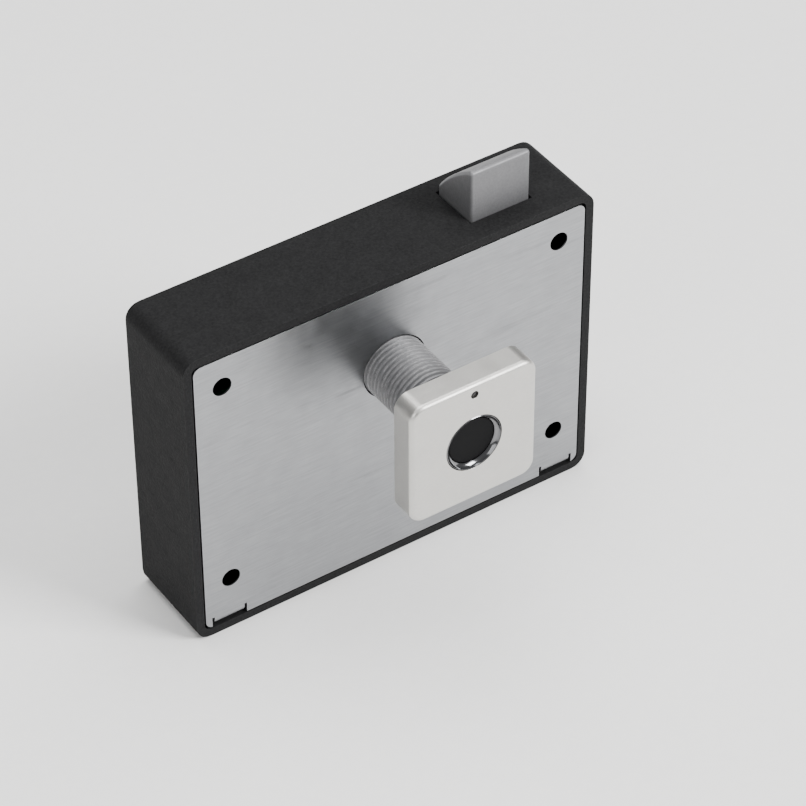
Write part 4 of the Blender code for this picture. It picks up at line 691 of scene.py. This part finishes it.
# Black foam of the gasket. Its dark line under the bezel rim is partly painted shade, standing in for the
# contact shadow of the rim on the panel.
BLACK_FOAM_AND_RIM_SHADE = Finish(
    "black foam and painted rim shade", "rubber", (0.009, 0.009, 0.009), (0.020, 0.020, 0.020), 0.86, 0.06,
    0.20 * MM, 0.05 * MM, specular=0.2,
)
CAST_ZINC = Finish(
    "cast zinc", "zinc", (0.185, 0.185, 0.19), (0.135, 0.135, 0.14), 0.50, 0.06,
    0.40 * MM, 0.016 * MM, metallic=0.5, wear=0.7, worn=(0.55, 0.55, 0.55), scratches=0.14,
)
PLATED_STEEL = Finish(
    "plated steel", "steel", (0.34, 0.345, 0.355), (0.25, 0.255, 0.265), 0.36, 0.06,
    0.34 * MM, 0.011 * MM, metallic=1.0, stretch=(0.05, 1.0, 1.0),
    wear=0.5, worn=(0.55, 0.55, 0.56), scratches=0.18,
)
BRIGHT_STEEL = Finish(
    "bright steel", "bright_steel", (0.60, 0.60, 0.61), (0.50, 0.50, 0.51), 0.22, 0.06,
    0.2 * MM, 0.003 * MM, metallic=1.0, scratches=0.15,
)
BRASS = Finish(
    "rolled brass", "brass", (0.70, 0.50, 0.21), (0.60, 0.41, 0.16), 0.32, 0.07,
    0.15 * MM, 0.005 * MM, metallic=1.0, stretch=(1.0, 0.2, 1.0),
    wear=0.4, worn=(0.82, 0.66, 0.36), scratches=0.2,
)
ACETAL = Finish(
    "white acetal", "gear_plastic", (0.78, 0.77, 0.72), (0.70, 0.69, 0.64), 0.40, 0.05,
    0.3 * MM, 0.004 * MM,
)
SOLDER_MASK = Finish(
    "green board", "board", (0.010, 0.085, 0.040), (0.014, 0.11, 0.052), 0.38, 0.05,
    0.1 * MM, 0.004 * MM, coat=0.2,
    pattern=Pattern.BOARD_TRACKS, pattern_colour=(0.007, 0.058, 0.028), pattern_size=2.4 * MM,
)
CHIP_EPOXY = Finish(
    "chip epoxy", "chip", (0.012, 0.012, 0.013), (0.022, 0.022, 0.024), 0.55, 0.06,
    0.12 * MM, 0.008 * MM, specular=0.35,
)
CELL_SLEEVE = Finish(
    "cell sleeve", "cell_sleeve", (0.042, 0.135, 0.25), (0.048, 0.147, 0.265), 0.33, 0.012,
    2.2 * MM, 0.004 * MM, metallic=0.5, coat=0.3,
    pattern=Pattern.CELL_BANDS, pattern_colour=(0.60, 0.62, 0.64), pattern_size=13.0 * MM,
)
SOCKET_IVORY = Finish(
    "ivory socket", "socket_plastic", (0.70, 0.65, 0.54), (0.62, 0.58, 0.48), 0.48, 0.05,
    0.25 * MM, 0.005 * MM,
)
FLAT_CABLE = Finish(
    "amber flat cable", "flat_cable", (0.46, 0.21, 0.05), (0.52, 0.26, 0.07), 0.30, 0.05,
    0.3 * MM, 0.002 * MM, coat=0.3,
    pattern=Pattern.CABLE_STRIPES, pattern_colour=(0.58, 0.36, 0.14), pattern_size=0.5 * MM,
)
RED_PLASTIC = Finish(
    "red plastic", "red_plastic", (0.36, 0.020, 0.017), (0.28, 0.015, 0.013), 0.42, 0.06,
    0.25 * MM, 0.005 * MM,
)


def show(piece: Piece, node: str, finish: Finish, body: str = "body") -> None:
    """Dress a piece, hang it on its body and hide the solid that it stands for.

    Args:
        piece: the piece.
        node: name of the solid that it replaces.
        finish: its surface.
        body: the body it moves with.
    """
    piece.data.materials.append(material(finish))
    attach(piece, body)
    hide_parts(node)
    LOG.info("%s rides on %s", piece.name, body)


def show_refined(node: str, name: str, finish: Finish, width: float = EASED, body: str = "body") -> None:
    """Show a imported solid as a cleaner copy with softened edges.

    Args:
        node: the solid's name.
        name: its name.
        finish: its surface.
        width: width of the softened edges.
        body: the body it moves with.
    """
    piece = refined(node, name)
    soften(piece, width)
    show(piece, node, finish, body)


def middle(node: str) -> Vector:
    """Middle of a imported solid's box.

    Args:
        node: the solid's name.

    Returns:
        The middle point.
    """
    low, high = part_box(node)
    return (low + high) / 2


# Outline of a pan head in shares of its radius and height
PAN_HEAD = ((0.45, 1.0), (0.8, 0.86), (0.96, 0.55), (1.0, 0.25), (1.0, 0.0))


@dataclass
class CrossScrew:
    """Pan-head screw with a cross recess."""

    diameter: float
    head: float
    head_height: float
    pitch: float = 0.45 * MM
    thread_depth: float = 0.16 * MM
    recess_share: float = 0.56
    blade_share: float = 0.15
    floor_share: float = 0.35
    tip_share: float = 0.3

    def build(self, name: str, node: str, direction: Triple) -> None:
        """Build the screw where its solid is.

        Args:
            name: its name.
            node: the solid that it stands for.
            direction: way in which the screw is driven.
        """
        low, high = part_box(node)
        way = Vector(direction)
        length = abs((high - low).dot(way)) - self.head_height
        tip = middle(node) + way * (length + self.head_height) / 2
        seat = tip - way * length
        radius = self.diameter / 2
        root, end = radius - self.thread_depth, radius - length
        top, rim = self.head_height, self.head / 2
        profile = [(rim * across, top * up) for across, up in PAN_HEAD]
        profile.append((radius, 0.0))
        along = -self.pitch / 2
        while along > end:
            profile += [(root, along), (radius, along - self.pitch / 2)]
            along -= self.pitch
        profile += [(root, end), (root * self.tip_share, -length)]
        screw = turned(name, profile, Axis.Z, sides=ROUND)
        reach, blade = rim * self.recess_share, rim * self.blade_share
        for across, up in ((reach, blade), (blade, reach)):
            carve(screw, brick("recess", (-across, -up, top * self.floor_share), (across, up, top * 2)))
        screw.matrix_world = Matrix.Translation(seat) @ (-way).to_track_quat("Z", "Y").to_matrix().to_4x4()
        soften(screw, 0.04 * MM)
        show(screw, node, BRIGHT_STEEL)


SMALL_SCREW = CrossScrew(1.6 * MM, 3.2 * MM, 0.6 * MM, 0.4 * MM, 0.14 * MM)

# Corners of one thread in shares of the pitch and of the depth
THREAD_FORM = ((0.0, 1.0), (0.26, 1.0), (0.50, 0.0), (0.76, 0.0))


@dataclass
class Reader:
    """Square reader on the outside, its threaded stem and the nut behind the plate."""

    corner: float = 2.8 * MM
    edge: float = 0.9 * MM
    wall: float = 1.2 * MM
    ring_outer: float = 5.45 * MM
    ring_shoulder: float = 0.6 * MM
    ring_land: float = 0.16 * MM
    pad_radius: float = 4.5 * MM
    recess: float = 0.8 * MM
    ring_lip: float = 0.1 * MM
    ring_dip: float = 0.06 * MM
    pad_edge: float = 0.18 * MM
    lens_rise: float = 0.25 * MM
    light_up: float = 10.4 * MM
    light_radius: float = 0.65 * MM
    stem_radius: float = 6.0 * MM
    stem_bore: float = 4.0 * MM
    flange: float = 1.2 * MM
    pitch: float = 1.0 * MM
    thread_depth: float = 0.42 * MM
    thread_turn: int = 64
    end_share: float = 1.3
    nut_flats: float = 17.0 * MM
    nut_rise: float = 0.5 * MM
    gap: float = 0.1 * MM
    gasket_gap: float = 0.3 * MM

    def build(self) -> None:
        """Build every piece of the reader."""
        self.build_bezel()
        self.build_ring()
        self.build_pad_and_light()
        self.build_gasket()
        self.build_stem()
        self.build_nut()
        show_refined("reader_board", "reader_circuit", SOLDER_MASK)
        show_refined("reader_cable", "reader_flat_cable", FLAT_CABLE, 0.02 * MM)

    def build_bezel(self) -> None:
        """Square cap with softly rounded edges, hollow behind, with its two windows."""
        low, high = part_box("reader_bezel")
        face, rim, half = low.y, high.y, high.x
        stations = [(0.0, rim - face)] + arc((self.edge, self.edge), self.edge, 180.0, 270.0, 10)
        rings = []
        for shrink, depth in stations:
            reach = half - shrink
            outline = rounded((-reach, -reach), (reach, reach), self.corner - shrink, 12)
            rings.append([Axis.Y.place(u, v, face + depth) for u, v in outline])
        cap = loft("reader_cap", rings)
        inner = half - self.wall
        hollow = [rounded((-inner, -inner), (inner, inner), self.corner - self.wall)]
        carve(cap, prism("hollow", hollow, face + self.wall, rim + self.wall, Axis.Y))
        drill(cap, Axis.Y, self.ring_outer + self.gap, face - self.wall, rim)
        drill(cap, Axis.Y, self.light_radius + self.gap, face - self.wall, rim, (0.0, self.light_up), SMALL)
        soften(cap, 0.07 * MM)
        show(cap, "reader_bezel", SATIN_NICKEL)

    def build_ring(self) -> None:
        """Ring whose slightly hollow, polished slope leads the fingertip down to the pad."""
        low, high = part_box("sensor_ring")
        face, rear = low.y, high.y
        inner = self.pad_radius + self.gap
        outer, land = self.ring_outer, self.ring_outer - self.ring_land
        shoulder, flange = outer + self.ring_shoulder, face + self.wall + self.gap
        profile = [(inner, rear), (shoulder, rear), (shoulder, flange), (outer, flange)]
        profile += [(outer, face + self.ring_lip), (outer - self.ring_lip, face)]
        steps = 8
        for i in range(steps + 1):
            share = i / steps
            sag = self.ring_dip * math.sin(math.pi * share)
            profile.append((land + (inner - land) * share + sag, face + self.recess * share + sag))
        ring = turned("finger_ring", profile, Axis.Y, loop=True)
        soften(ring, 0.0, limit=30.0)
        # The ring's dark tone is painted reflection of dark surroundings.
        show(ring, "sensor_ring", CHROME_DARKENED_AS_REFLECTION)

    def build_pad_and_light(self) -> None:
        """Round sensing pad and the small domed lens above it."""
        low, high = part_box("fingerprint_sensor")
        edge = self.pad_edge
        bend = arc((0.0, 0.0), edge, 0.0, 90.0, 5)
        profile = [(self.pad_radius * share, low.y) for share in (0.2, 0.6, 0.9)]
        profile += [(self.pad_radius - edge + u, low.y + edge - v) for v, u in bend]
        profile.append((self.pad_radius, high.y))
        pad = turned("sensing_pad", profile, Axis.Y)
        soften(pad, 0.0)
        show(pad, "fingerprint_sensor", SENSOR_BLACK)
        low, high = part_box("status_light")
        profile = dome(self.light_radius, low.y, self.lens_rise, (8, 30, 50, 70, 90))
        profile.append((self.light_radius, high.y))
        lens = turned("status_lens", profile, Axis.Y, (0.0, self.light_up), SMALL)
        soften(lens, 0.0)
        show(lens, "status_light", SMOKED_LENS)

    def build_gasket(self) -> None:
        """Foam gasket that the panel presses flat. Its black edge under the bezel rim is also painted shade:
        it stands in for the contact shadow of the rim on the panel.
        """
        low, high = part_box("reader_gasket")
        outline = rounded((low.x, low.z), (high.x, high.z), self.corner - self.wall)
        hole = circle((0.0, 0.0), self.stem_radius + self.gasket_gap, FINE)
        gasket = prism("foam_gasket_and_rim_shade", [outline, hole], low.y, high.y, Axis.Y)
        soften(gasket, 0.12 * MM, 3)
        show(gasket, "reader_gasket", BLACK_FOAM_AND_RIM_SHADE)

    def build_stem(self) -> None:
        """Hollow stem with a rolled thread and the square flange that sits in the cap."""
        low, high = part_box("reader_stem")
        stem = self.thread(low.y + self.flange / 2, high.y)
        outline = rounded((low.x, low.z), (high.x, high.z), self.corner - self.wall)
        carve(stem, prism("flange", [outline], low.y, low.y + self.flange, Axis.Y), "UNION")
        drill(stem, Axis.Y, self.stem_bore, low.y - self.flange, high.y + self.flange)
        soften(stem, 0.0, limit=28.0)
        show(stem, "reader_stem", CAST_ZINC)

    def thread(self, start: float, end: float) -> Piece:
        """Rod with a true helical thread, its end chamfered.

        Args:
            start: where it starts along Y.
            end: where it ends along Y.

        Returns:
            The rod.
        """
        steps = self.thread_turn
        count = (math.ceil((end - start) / self.pitch) + 1) * steps
        shape = bmesh.new()
        rows = []
        for k in range(count + 1):
            angle = math.tau * k / steps
            row = []
            for share, depth in THREAD_FORM:
                along = start + self.pitch * (k / steps + share - 1.0)
                kept = min(max(along, start), end)
                radius = self.stem_radius - self.thread_depth * (depth if kept == along else 1.0)
                chamfer = self.stem_radius - self.thread_depth * self.end_share + max(0.0, end - kept)
                radius = min(radius, chamfer)
                place = Axis.Y.place(radius * math.cos(angle), radius * math.sin(angle), kept)
                row.append(shape.verts.new(place))
            rows.append(row)
        for k in range(count):
            near, far = list(rows[k]), list(rows[k + 1])
            if k + steps < count:
                near.append(rows[k + steps][0])
                far.append(rows[k + 1 + steps][0])
            for i in range(len(near) - 1):
                shape.faces.new((near[i], near[i + 1], far[i + 1], far[i]))
        bmesh.ops.remove_doubles(shape, verts=shape.verts, dist=1e-6)
        bmesh.ops.holes_fill(shape, edges=[edge for edge in shape.edges if edge.is_boundary])
        return finished(shape, "threaded_stem")

    def build_nut(self) -> None:
        """Thin hexagon nut with turned corners."""
        low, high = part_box("stem_nut")
        corner = self.nut_flats / 2 / math.cos(math.pi / 6)
        nut = prism("hexagon_nut", [circle((0.0, 0.0), corner, 6)], low.y, high.y, Axis.Y)
        flat, rise = self.nut_flats / 2, self.nut_rise
        wide = corner + rise
        profile = [(flat, low.y), (wide, low.y + 2 * rise), (wide, high.y - 2 * rise), (flat, high.y)]
        carve(nut, turned("rounding", profile, Axis.Y), "INTERSECT")
        drill(nut, Axis.Y, self.stem_radius + self.gap, low.y - rise, high.y + rise)
        soften(nut, 0.0, limit=25.0)
        show(nut, "stem_nut", PLATED_STEEL)


@dataclass
class Body:
    """Moulded body with the steel plate that is screwed to the panel."""

    plate_corner: float = 1.5 * MM
    stem_hole: float = 6.3 * MM
    screw_hole: float = 1.8 * MM
    screw_sink: float = 3.4 * MM
    sink_depth: float = 0.9 * MM
    plate: float = 1.2 * MM
    lug_half: float = 3.0 * MM
    lug_place: float = 34.3 * MM
    lug_hole: float = 1.1 * MM
    lug_reach: float = 3.5 * MM
    slit: float = 0.5 * MM
    screw_place: float = 33.7 * MM
    high_screws: float = 11.7 * MM
    low_screws: float = -31.1 * MM
    bend: float = 1.5 * MM
    corner: float = 2.8 * MM
    solid_rounding: float = 1.6 * MM
    rear_rounding: float = 0.7 * MM
    slack: float = 0.03 * MM

    def build(self) -> None:
        """Build the body, its plate, its screws and the boards' pieces."""
        self.build_housing()
        self.build_plate()
        screw = CrossScrew(2.0 * MM, 3.8 * MM, 0.7 * MM)
        for i in (1, 2):
            screw.build(f"foot_screw_{i}", f"housing_screw_{i}", (0.0, 0.0, 1.0))
        show_refined("main_board", "control_circuit", SOLDER_MASK, 0.03 * MM)
        for node in ("controller_chip", "motor_driver_chip", "capacitor_1", "capacitor_2", "capacitor_3"):
            show_refined(node, node + "_case", CHIP_EPOXY, 0.1 * MM)
        show_refined("set_switch", "button_switch", PLATED_STEEL)
        show_refined("cable_socket", "flat_socket", SOCKET_IVORY)
        for i in (1, 2):
            SMALL_SCREW.build(f"circuit_screw_{i}", f"board_screw_{i}", (0.0, 1.0, 0.0))

    def build_housing(self) -> None:
        """Moulded body whose rear edge is crisper than the solid's, as the mould leaves it."""
        low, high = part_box("housing")
        housing = refined("housing", "moulded_housing")
        outer, inner = self.solid_rounding, self.rear_rounding
        for vertex in housing.data.vertices:
            point = vertex.co
            depth = high.y - point.y
            x = min(max(point.x, low.x + self.corner), high.x - self.corner)
            z = min(max(point.z, low.z + self.corner), high.z - self.corner)
            nearest = Vector((x, point.y, z))
            reach = (point - nearest).length
            inward = self.corner - reach
            off_arc = math.hypot(outer - inward, outer - depth) - outer
            on_arc = max(inward, depth) < outer + self.slack and abs(off_arc) < self.slack
            if reach and on_arc:
                share = (self.corner - inward * inner / outer) / reach
                vertex.co = nearest + (point - nearest) * share
                vertex.co.y = high.y - depth * inner / outer
        soften(housing, 0.12 * MM)
        show(housing, "housing", TEXTURED_BLACK)

    def build_plate(self) -> None:
        """Plate with countersunk holes and two lugs folded back with a bend radius."""
        low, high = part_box("base_plate")
        outline = rounded((low.x, low.z), (high.x, high.z), self.plate_corner)
        levels = (self.high_screws, self.low_screws)
        places = [(x, z) for x in (-self.screw_place, self.screw_place) for z in levels]
        holes = [circle((0.0, 0.0), self.stem_hole, FINE)]
        holes += [circle(place, self.screw_hole) for place in places]
        rear = low.y + self.plate
        base = prism("steel_plate", [outline] + holes, low.y, rear, Axis.Y)
        cone = [(self.screw_sink + step, rear + step) for step in (-self.sink_depth, self.plate)]
        for place in places:
            carve(base, turned("sink", cone, Axis.Y, place, ROUND))
        for side in (-1.0, 1.0):
            self.fold_lug(base, side * self.lug_place)
        soften(base, 0.1 * MM)
        show(base, "base_plate", PLATED_STEEL)

    def fold_lug(self, base: Piece, x: float) -> None:
        """Cut the plate's edge back beside a lug and fold the lug towards the body.

        Args:
            base: the plate.
            x: the lug's middle.
        """
        low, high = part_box("base_plate")
        slit, foot, rear = self.slit, low.z, low.y + self.plate
        left, right = x - self.lug_half, x + self.lug_half
        notch_low = (left - slit, low.y - slit, foot - slit)
        notch_high = (right + slit, rear + slit, foot + self.bend + slit)
        carve(base, brick("notch", notch_low, notch_high))
        centre = (low.y + self.bend, foot + self.bend)
        top = foot + self.bend + 1.5 * slit
        profile = [(low.y, top)] + arc(centre, self.bend, 180.0, 270.0, 8)
        profile += [(high.y, foot), (high.y, foot + self.plate)]
        profile += arc(centre, self.bend - self.plate, 270.0, 180.0, 6) + [(rear, top)]
        lug = prism("lug", [profile], left, right, Axis.X)
        hole = (x, rear + self.lug_reach)
        drill(lug, Axis.Z, self.lug_hole, foot - slit, foot + self.plate + slit, hole, SMALL)
        carve(base, lug, "UNION")


@dataclass
class Battery:
    """Three cells with their springs and contacts, the cover and the setting button."""

    radius: float = 5.25 * MM
    nub: float = 1.9 * MM
    nub_height: float = 0.8 * MM
    nub_edge: float = 0.25 * MM
    nub_drop: float = 0.2 * MM
    curl: float = 0.5 * MM
    lip: float = 3.95 * MM
    seal: float = 0.9 * MM
    step: float = 0.1 * MM
    dish: float = 0.15 * MM
    dish_middle: float = 0.4 * MM
    spring_wide: float = 3.15 * MM
    spring_narrow: float = 2.05 * MM
    wire: float = 0.25 * MM
    turns: float = 3.5
    turn_steps: int = 24
    button_radius: float = 1.7 * MM
    button_rise: float = 0.3 * MM
    collar: float = 2.5 * MM
    collar_rear: float = 11.1 * MM
    collar_height: float = 0.8 * MM

    def build(self) -> None:
        """Build the cells and everything round them."""
        for number in (1, 2, 3):
            self.build_cell(number, nub_up=number != 2)
            self.build_spring(number, nub_up=number != 2)
        for number in (1, 2, 3, 4):
            show_refined(f"battery_contact_{number}", f"contact_plate_{number}", BRIGHT_STEEL, 0.06 * MM)
        show_refined("battery_cover", "rear_cover", TEXTURED_BLACK, 0.12 * MM, "cover")
        self.build_button()

    def build_cell(self, number: int, nub_up: bool) -> None:
        """One cell: steel nub, insulating ring and a sleeve whose ends curl over.

        Args:
            number: which cell.
            nub_up: whether its nub points up.
        """
        low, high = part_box(f"battery_{number}")
        half = (high.z - low.z) / 2
        shoulder = half - self.nub_height
        curl, wall = self.curl, self.radius - self.curl
        bend = arc((0.0, 0.0), curl, 0.0, 90.0, 5)
        step, dish = self.step, self.dish - half
        profile = [(self.nub - self.nub_edge, half), (self.nub, half - self.nub_drop)]
        profile += [(self.nub, shoulder + step), (self.nub + self.seal, shoulder - step / 2)]
        profile += [(self.lip, shoulder - step / 2), (self.lip + step, shoulder)]
        profile += [(wall + u, shoulder - curl + v) for v, u in bend]
        profile.append((self.radius, 0.0))
        profile += [(wall + u, curl - half - v) for v, u in reversed(bend)]
        profile += [(self.lip + step, -half), (self.lip, dish), (self.dish_middle, dish)]
        cell = turned(f"cell_{number}", profile, Axis.Z, sides=64)
        cell.location = middle(f"battery_{number}")
        cell.rotation_euler.x = 0.0 if nub_up else math.pi
        soften(cell, 0.0, limit=32.0)
        show(cell, f"battery_{number}", CELL_SLEEVE)

    def build_spring(self, number: int, nub_up: bool) -> None:
        """Conical spring that stands on its contact plate.

        Args:
            number: which cell it presses on.
            nub_up: whether that cell's nub points up.
        """
        low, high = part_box(f"battery_spring_{number}")
        centre = middle(f"battery_{number}")
        room = high.z - low.z - 2 * self.wire
        path = []
        count = round(self.turns * self.turn_steps)
        for i in range(count + 1):
            share = i / count
            rise = share if nub_up else 1.0 - share
            radius = self.spring_wide + (self.spring_narrow - self.spring_wide) * share
            angle = math.tau * self.turns * share
            x, y = centre.x + radius * math.cos(angle), centre.y + radius * math.sin(angle)
            path.append(Vector((x, y, low.z + self.wire + room * rise)))
        spring = wire(f"cell_spring_{number}", path, self.wire)
        soften(spring, 0.0)
        show(spring, f"battery_spring_{number}", BRIGHT_STEEL)

    def build_button(self) -> None:
        """Plunger of the setting button with a slightly domed head."""
        low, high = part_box("set_button")
        place = middle("set_button")
        radius, rear, front = self.button_radius, self.collar_rear, self.collar_rear - self.collar_height
        profile = dome(radius, high.y, -self.button_rise, (6, 25, 45, 65, 90))
        profile += [(radius, rear), (self.collar, rear), (self.collar, front)]
        profile += [(radius, front), (radius, low.y)]
        button = turned("setting_button", profile, Axis.Y, (place.x, place.z), ROUND)
        soften(button, 0.06 * MM)
        show(button, "set_button", RED_PLASTIC, "button")


class Drive:
    """Motor, gearbox, pinion and the strap that holds them."""

    def build(self) -> None:
        """Build the drive's pieces."""
        show_refined("motor", "motor_can", BRIGHT_STEEL, 0.1 * MM)
        show_refined("gearbox", "gearbox_frame", BRASS, 0.06 * MM)
        show_refined("motor_clamp", "motor_strap", PLATED_STEEL)
        show_refined("motor_shaft", "output_shaft", BRIGHT_STEEL, body="pinion_drive")
        show_refined("pinion", "drive_pinion", ACETAL, 0.04 * MM, "pinion_drive")
        for i in (1, 2):
            SMALL_SCREW.build(f"strap_screw_{i}", f"clamp_screw_{i}", (0.0, 1.0, 0.0))
            show_refined(f"motor_lead_{i}", f"motor_wire_{i}", RED_PLASTIC, 0.0)


@dataclass
class Latch:
    """Bolt with its pin and spring, and the draw plate that pulls it in."""

    nose: float = 0.6 * MM
    edge: float = 0.55 * MM
    heel: float = 1.6 * MM
    tip_land: float = 0.8 * MM
    bulge: float = 0.65 * MM
    pocket: float = 2.9 * MM
    pocket_depth: float = 7.5 * MM
    pin: float = 1.5 * MM
    pin_gap: float = 0.1 * MM
    pin_end: float = 0.3 * MM
    pin_bite: float = 0.25 * MM
    spring_radius: float = 2.2 * MM
    wire: float = 0.3 * MM
    turns: float = 9.0
    turn_steps: int = 28
    closed: float = 0.06
    close_pitch: float = 0.7
    throw: float = 10.0 * MM

    def build(self) -> None:
        """Build the latch's pieces."""
        show_refined("draw_plate", "draw_rack", CAST_ZINC, 0.05 * MM, "draw")
        self.build_bolt()
        self.build_pin()
        self.build_spring()

    def build_bolt(self) -> None:
        """Bolt with a flat front, a swelling bevel behind and rounded edges."""
        low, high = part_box("latch_bolt")
        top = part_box("housing")[1].z
        start = Vector((high.y, top + self.heel))
        end = Vector((low.y + self.tip_land, high.z))
        chord = end - start
        radius = chord.length_squared / (8 * self.bulge) + self.bulge / 2
        outward = Vector((chord.y, -chord.x)).normalized()
        centre = (start + end) / 2 - outward * (radius - self.bulge)
        first = math.degrees(math.atan2(start.y - centre.y, start.x - centre.x))
        last = math.degrees(math.atan2(end.y - centre.y, end.x - centre.x))
        profile = [(low.y, low.z), (high.y, low.z)] + arc((centre.x, centre.y), radius, first, last, 24)
        profile += arc((low.y + self.nose, high.z - self.nose), self.nose, 90.0, 180.0, 6)
        rounding = arc((self.edge, self.edge), self.edge, 180.0, 270.0, 6)
        stations = [(low.x + reach, shrink) for reach, shrink in rounding]
        stations += [(high.x - reach, shrink) for reach, shrink in reversed(rounding)]
        rings = [[Axis.X.place(u, v, x) for u, v in inset(profile, shrink)] for x, shrink in stations]
        bolt = loft("bevelled_bolt", rings)
        place = middle("latch_bolt")
        start, end = low.z - self.edge, low.z + self.pocket_depth
        drill(bolt, Axis.Z, self.pocket, start, end, (place.x, place.y), ROUND)
        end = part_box("latch_pin")[1].y + self.pin_end
        hole = (place.x, middle("latch_pin").z)
        drill(bolt, Axis.Y, self.pin + self.pin_gap, low.y - self.edge, end, hole, SMALL)
        soften(bolt, 0.0, limit=30.0)
        show(bolt, "latch_bolt", CAST_ZINC, "latch")

    def build_pin(self) -> None:
        """Steel pin with chamfered ends."""
        low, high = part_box("latch_pin")
        place = middle("latch_pin")
        radius, bite = self.pin, self.pin_bite
        profile = [(radius - bite, low.y), (radius, low.y + bite)]
        profile += [(radius, high.y - bite), (radius - bite, high.y)]
        pin = turned("slot_pin", profile, Axis.Y, (place.x, place.z), ROUND)
        soften(pin, 0.0)
        show(pin, "latch_pin", BRIGHT_STEEL, "latch")

    def build_spring(self) -> None:
        """Coil spring under the bolt, with closed end turns."""
        low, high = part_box("latch_spring")
        place = middle("draw_plate")
        centre = middle("latch_bolt")
        room = high.z - low.z - 2 * self.wire
        closed, end_rise = self.closed, self.closed * self.close_pitch
        count = round(self.turns * self.turn_steps)
        path = []
        for i in range(count + 1):
            share = i / count
            angle = math.tau * self.turns * share
            if share < closed:
                rise = share * self.close_pitch
            elif share > 1.0 - closed:
                rise = 1.0 - (1.0 - share) * self.close_pitch
            else:
                rise = end_rise + (share - closed) / (1.0 - 2 * closed) * (1.0 - 2 * end_rise)
            x = place.x + self.spring_radius * math.cos(angle)
            y = centre.y + self.spring_radius * math.sin(angle)
            path.append(Vector((x, y, low.z + self.wire + room * rise)))
        spring = wire("bolt_spring", path, self.wire)
        soften(spring, 0.0)
        show(spring, "latch_spring", BRIGHT_STEEL, "draw")
        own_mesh(spring)


FLOOR_PAPER = Finish(
    "pale floor", "", (0.90, 0.895, 0.885), (0.87, 0.865, 0.855), 0.7, 0.05, 2.0 * MM, 0.02 * MM,
)


# Name, place, side and power of each light
LIGHTS = (
    ("key", (0.60, -0.80, 0.70), 0.5, 24.0),
    ("fill", (-0.85, -0.45, 0.5), 0.7, 4.5),
    ("top", (0.1, 0.20, 1.05), 1.0, 16.0),
)


@dataclass
class Studio:
    """Pale floor, soft lights and the camera."""

    eye: Triple = (-0.2618, -0.3943, 0.4037)
    roll: float = 0.289
    lens: float = 165.0
    floor_radius: float = 5.0
    floor_depth: float = 10.0 * MM
    floor_gap: float = 0.05 * MM
    sky: Colour = (0.93, 0.94, 0.95)
    sky_strength: float = 0.38

    def build(self) -> None:
        """Build the floor, the lights and the camera."""
        low, high = Vector(CAD_BOX[0]), Vector(CAD_BOX[1])
        target = (low + high) / 2
        self.build_floor(low.z)
        self.build_lights(target)
        self.build_camera(target)

    def build_floor(self, height: float) -> None:
        """Lay the floor under the lock.

        Args:
            height: the height of the lock's lowest point.
        """
        outline = circle((0.0, 0.0), self.floor_radius, FINE)
        floor = prism("floor", [outline], height - self.floor_depth, height - self.floor_gap, Axis.Z)
        floor.data.materials.append(material(FLOOR_PAPER))

    def build_lights(self, target: Vector) -> None:
        """Hang the soft square lights and set the sky.

        Args:
            target: what they point at.
        """
        for name, place, size, power in LIGHTS:
            data = bpy.data.lights.new(name, "AREA")
            data.size = size
            data.energy = power
            light = bpy.data.objects.new(name, data)
            bpy.context.scene.collection.objects.link(light)
            light.location = place
            light.rotation_euler = (target - Vector(place)).to_track_quat("-Z", "Y").to_euler()
        world = bpy.data.worlds.new("studio")
        world.use_nodes = True
        sky = world.node_tree.nodes["Background"]
        sky.inputs["Color"].default_value = (*self.sky, 1.0)
        sky.inputs["Strength"].default_value = self.sky_strength
        bpy.context.scene.world = world

    def build_camera(self, target: Vector) -> None:
        """Set the camera where the photograph was taken from, with a longer lens.

        Args:
            target: what it looks at.
        """
        data = bpy.data.cameras.new("camera")
        data.lens = self.lens
        data.clip_start = 0.01
        camera = bpy.data.objects.new("camera", data)
        bpy.context.scene.collection.objects.link(camera)
        eye = Vector(self.eye)
        ahead = (target - eye).normalized()
        level = ahead.cross(Vector((0.0, 0.0, 1.0))).normalized()
        down = ahead.cross(level)
        turn = math.radians(self.roll)
        right = level * math.cos(turn) + down * math.sin(turn)
        up = right.cross(ahead)
        rotation = Matrix((right, up, -ahead)).transposed().to_4x4()
        camera.matrix_world = Matrix.Translation(eye) @ rotation
        bpy.context.scene.camera = camera


def main() -> None:
    """Build the lock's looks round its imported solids."""
    logging.basicConfig(level=logging.INFO, format="%(message)s")
    for make in (make_grain_group, make_wear_group, make_scratch_group):
        make()
    for part in (Reader(), Body(), Battery(), Drive(), Latch(), Studio()):
        part.build()
        LOG.info("%s is built", type(part).__name__)


if __name__ == "__main__":
    main()
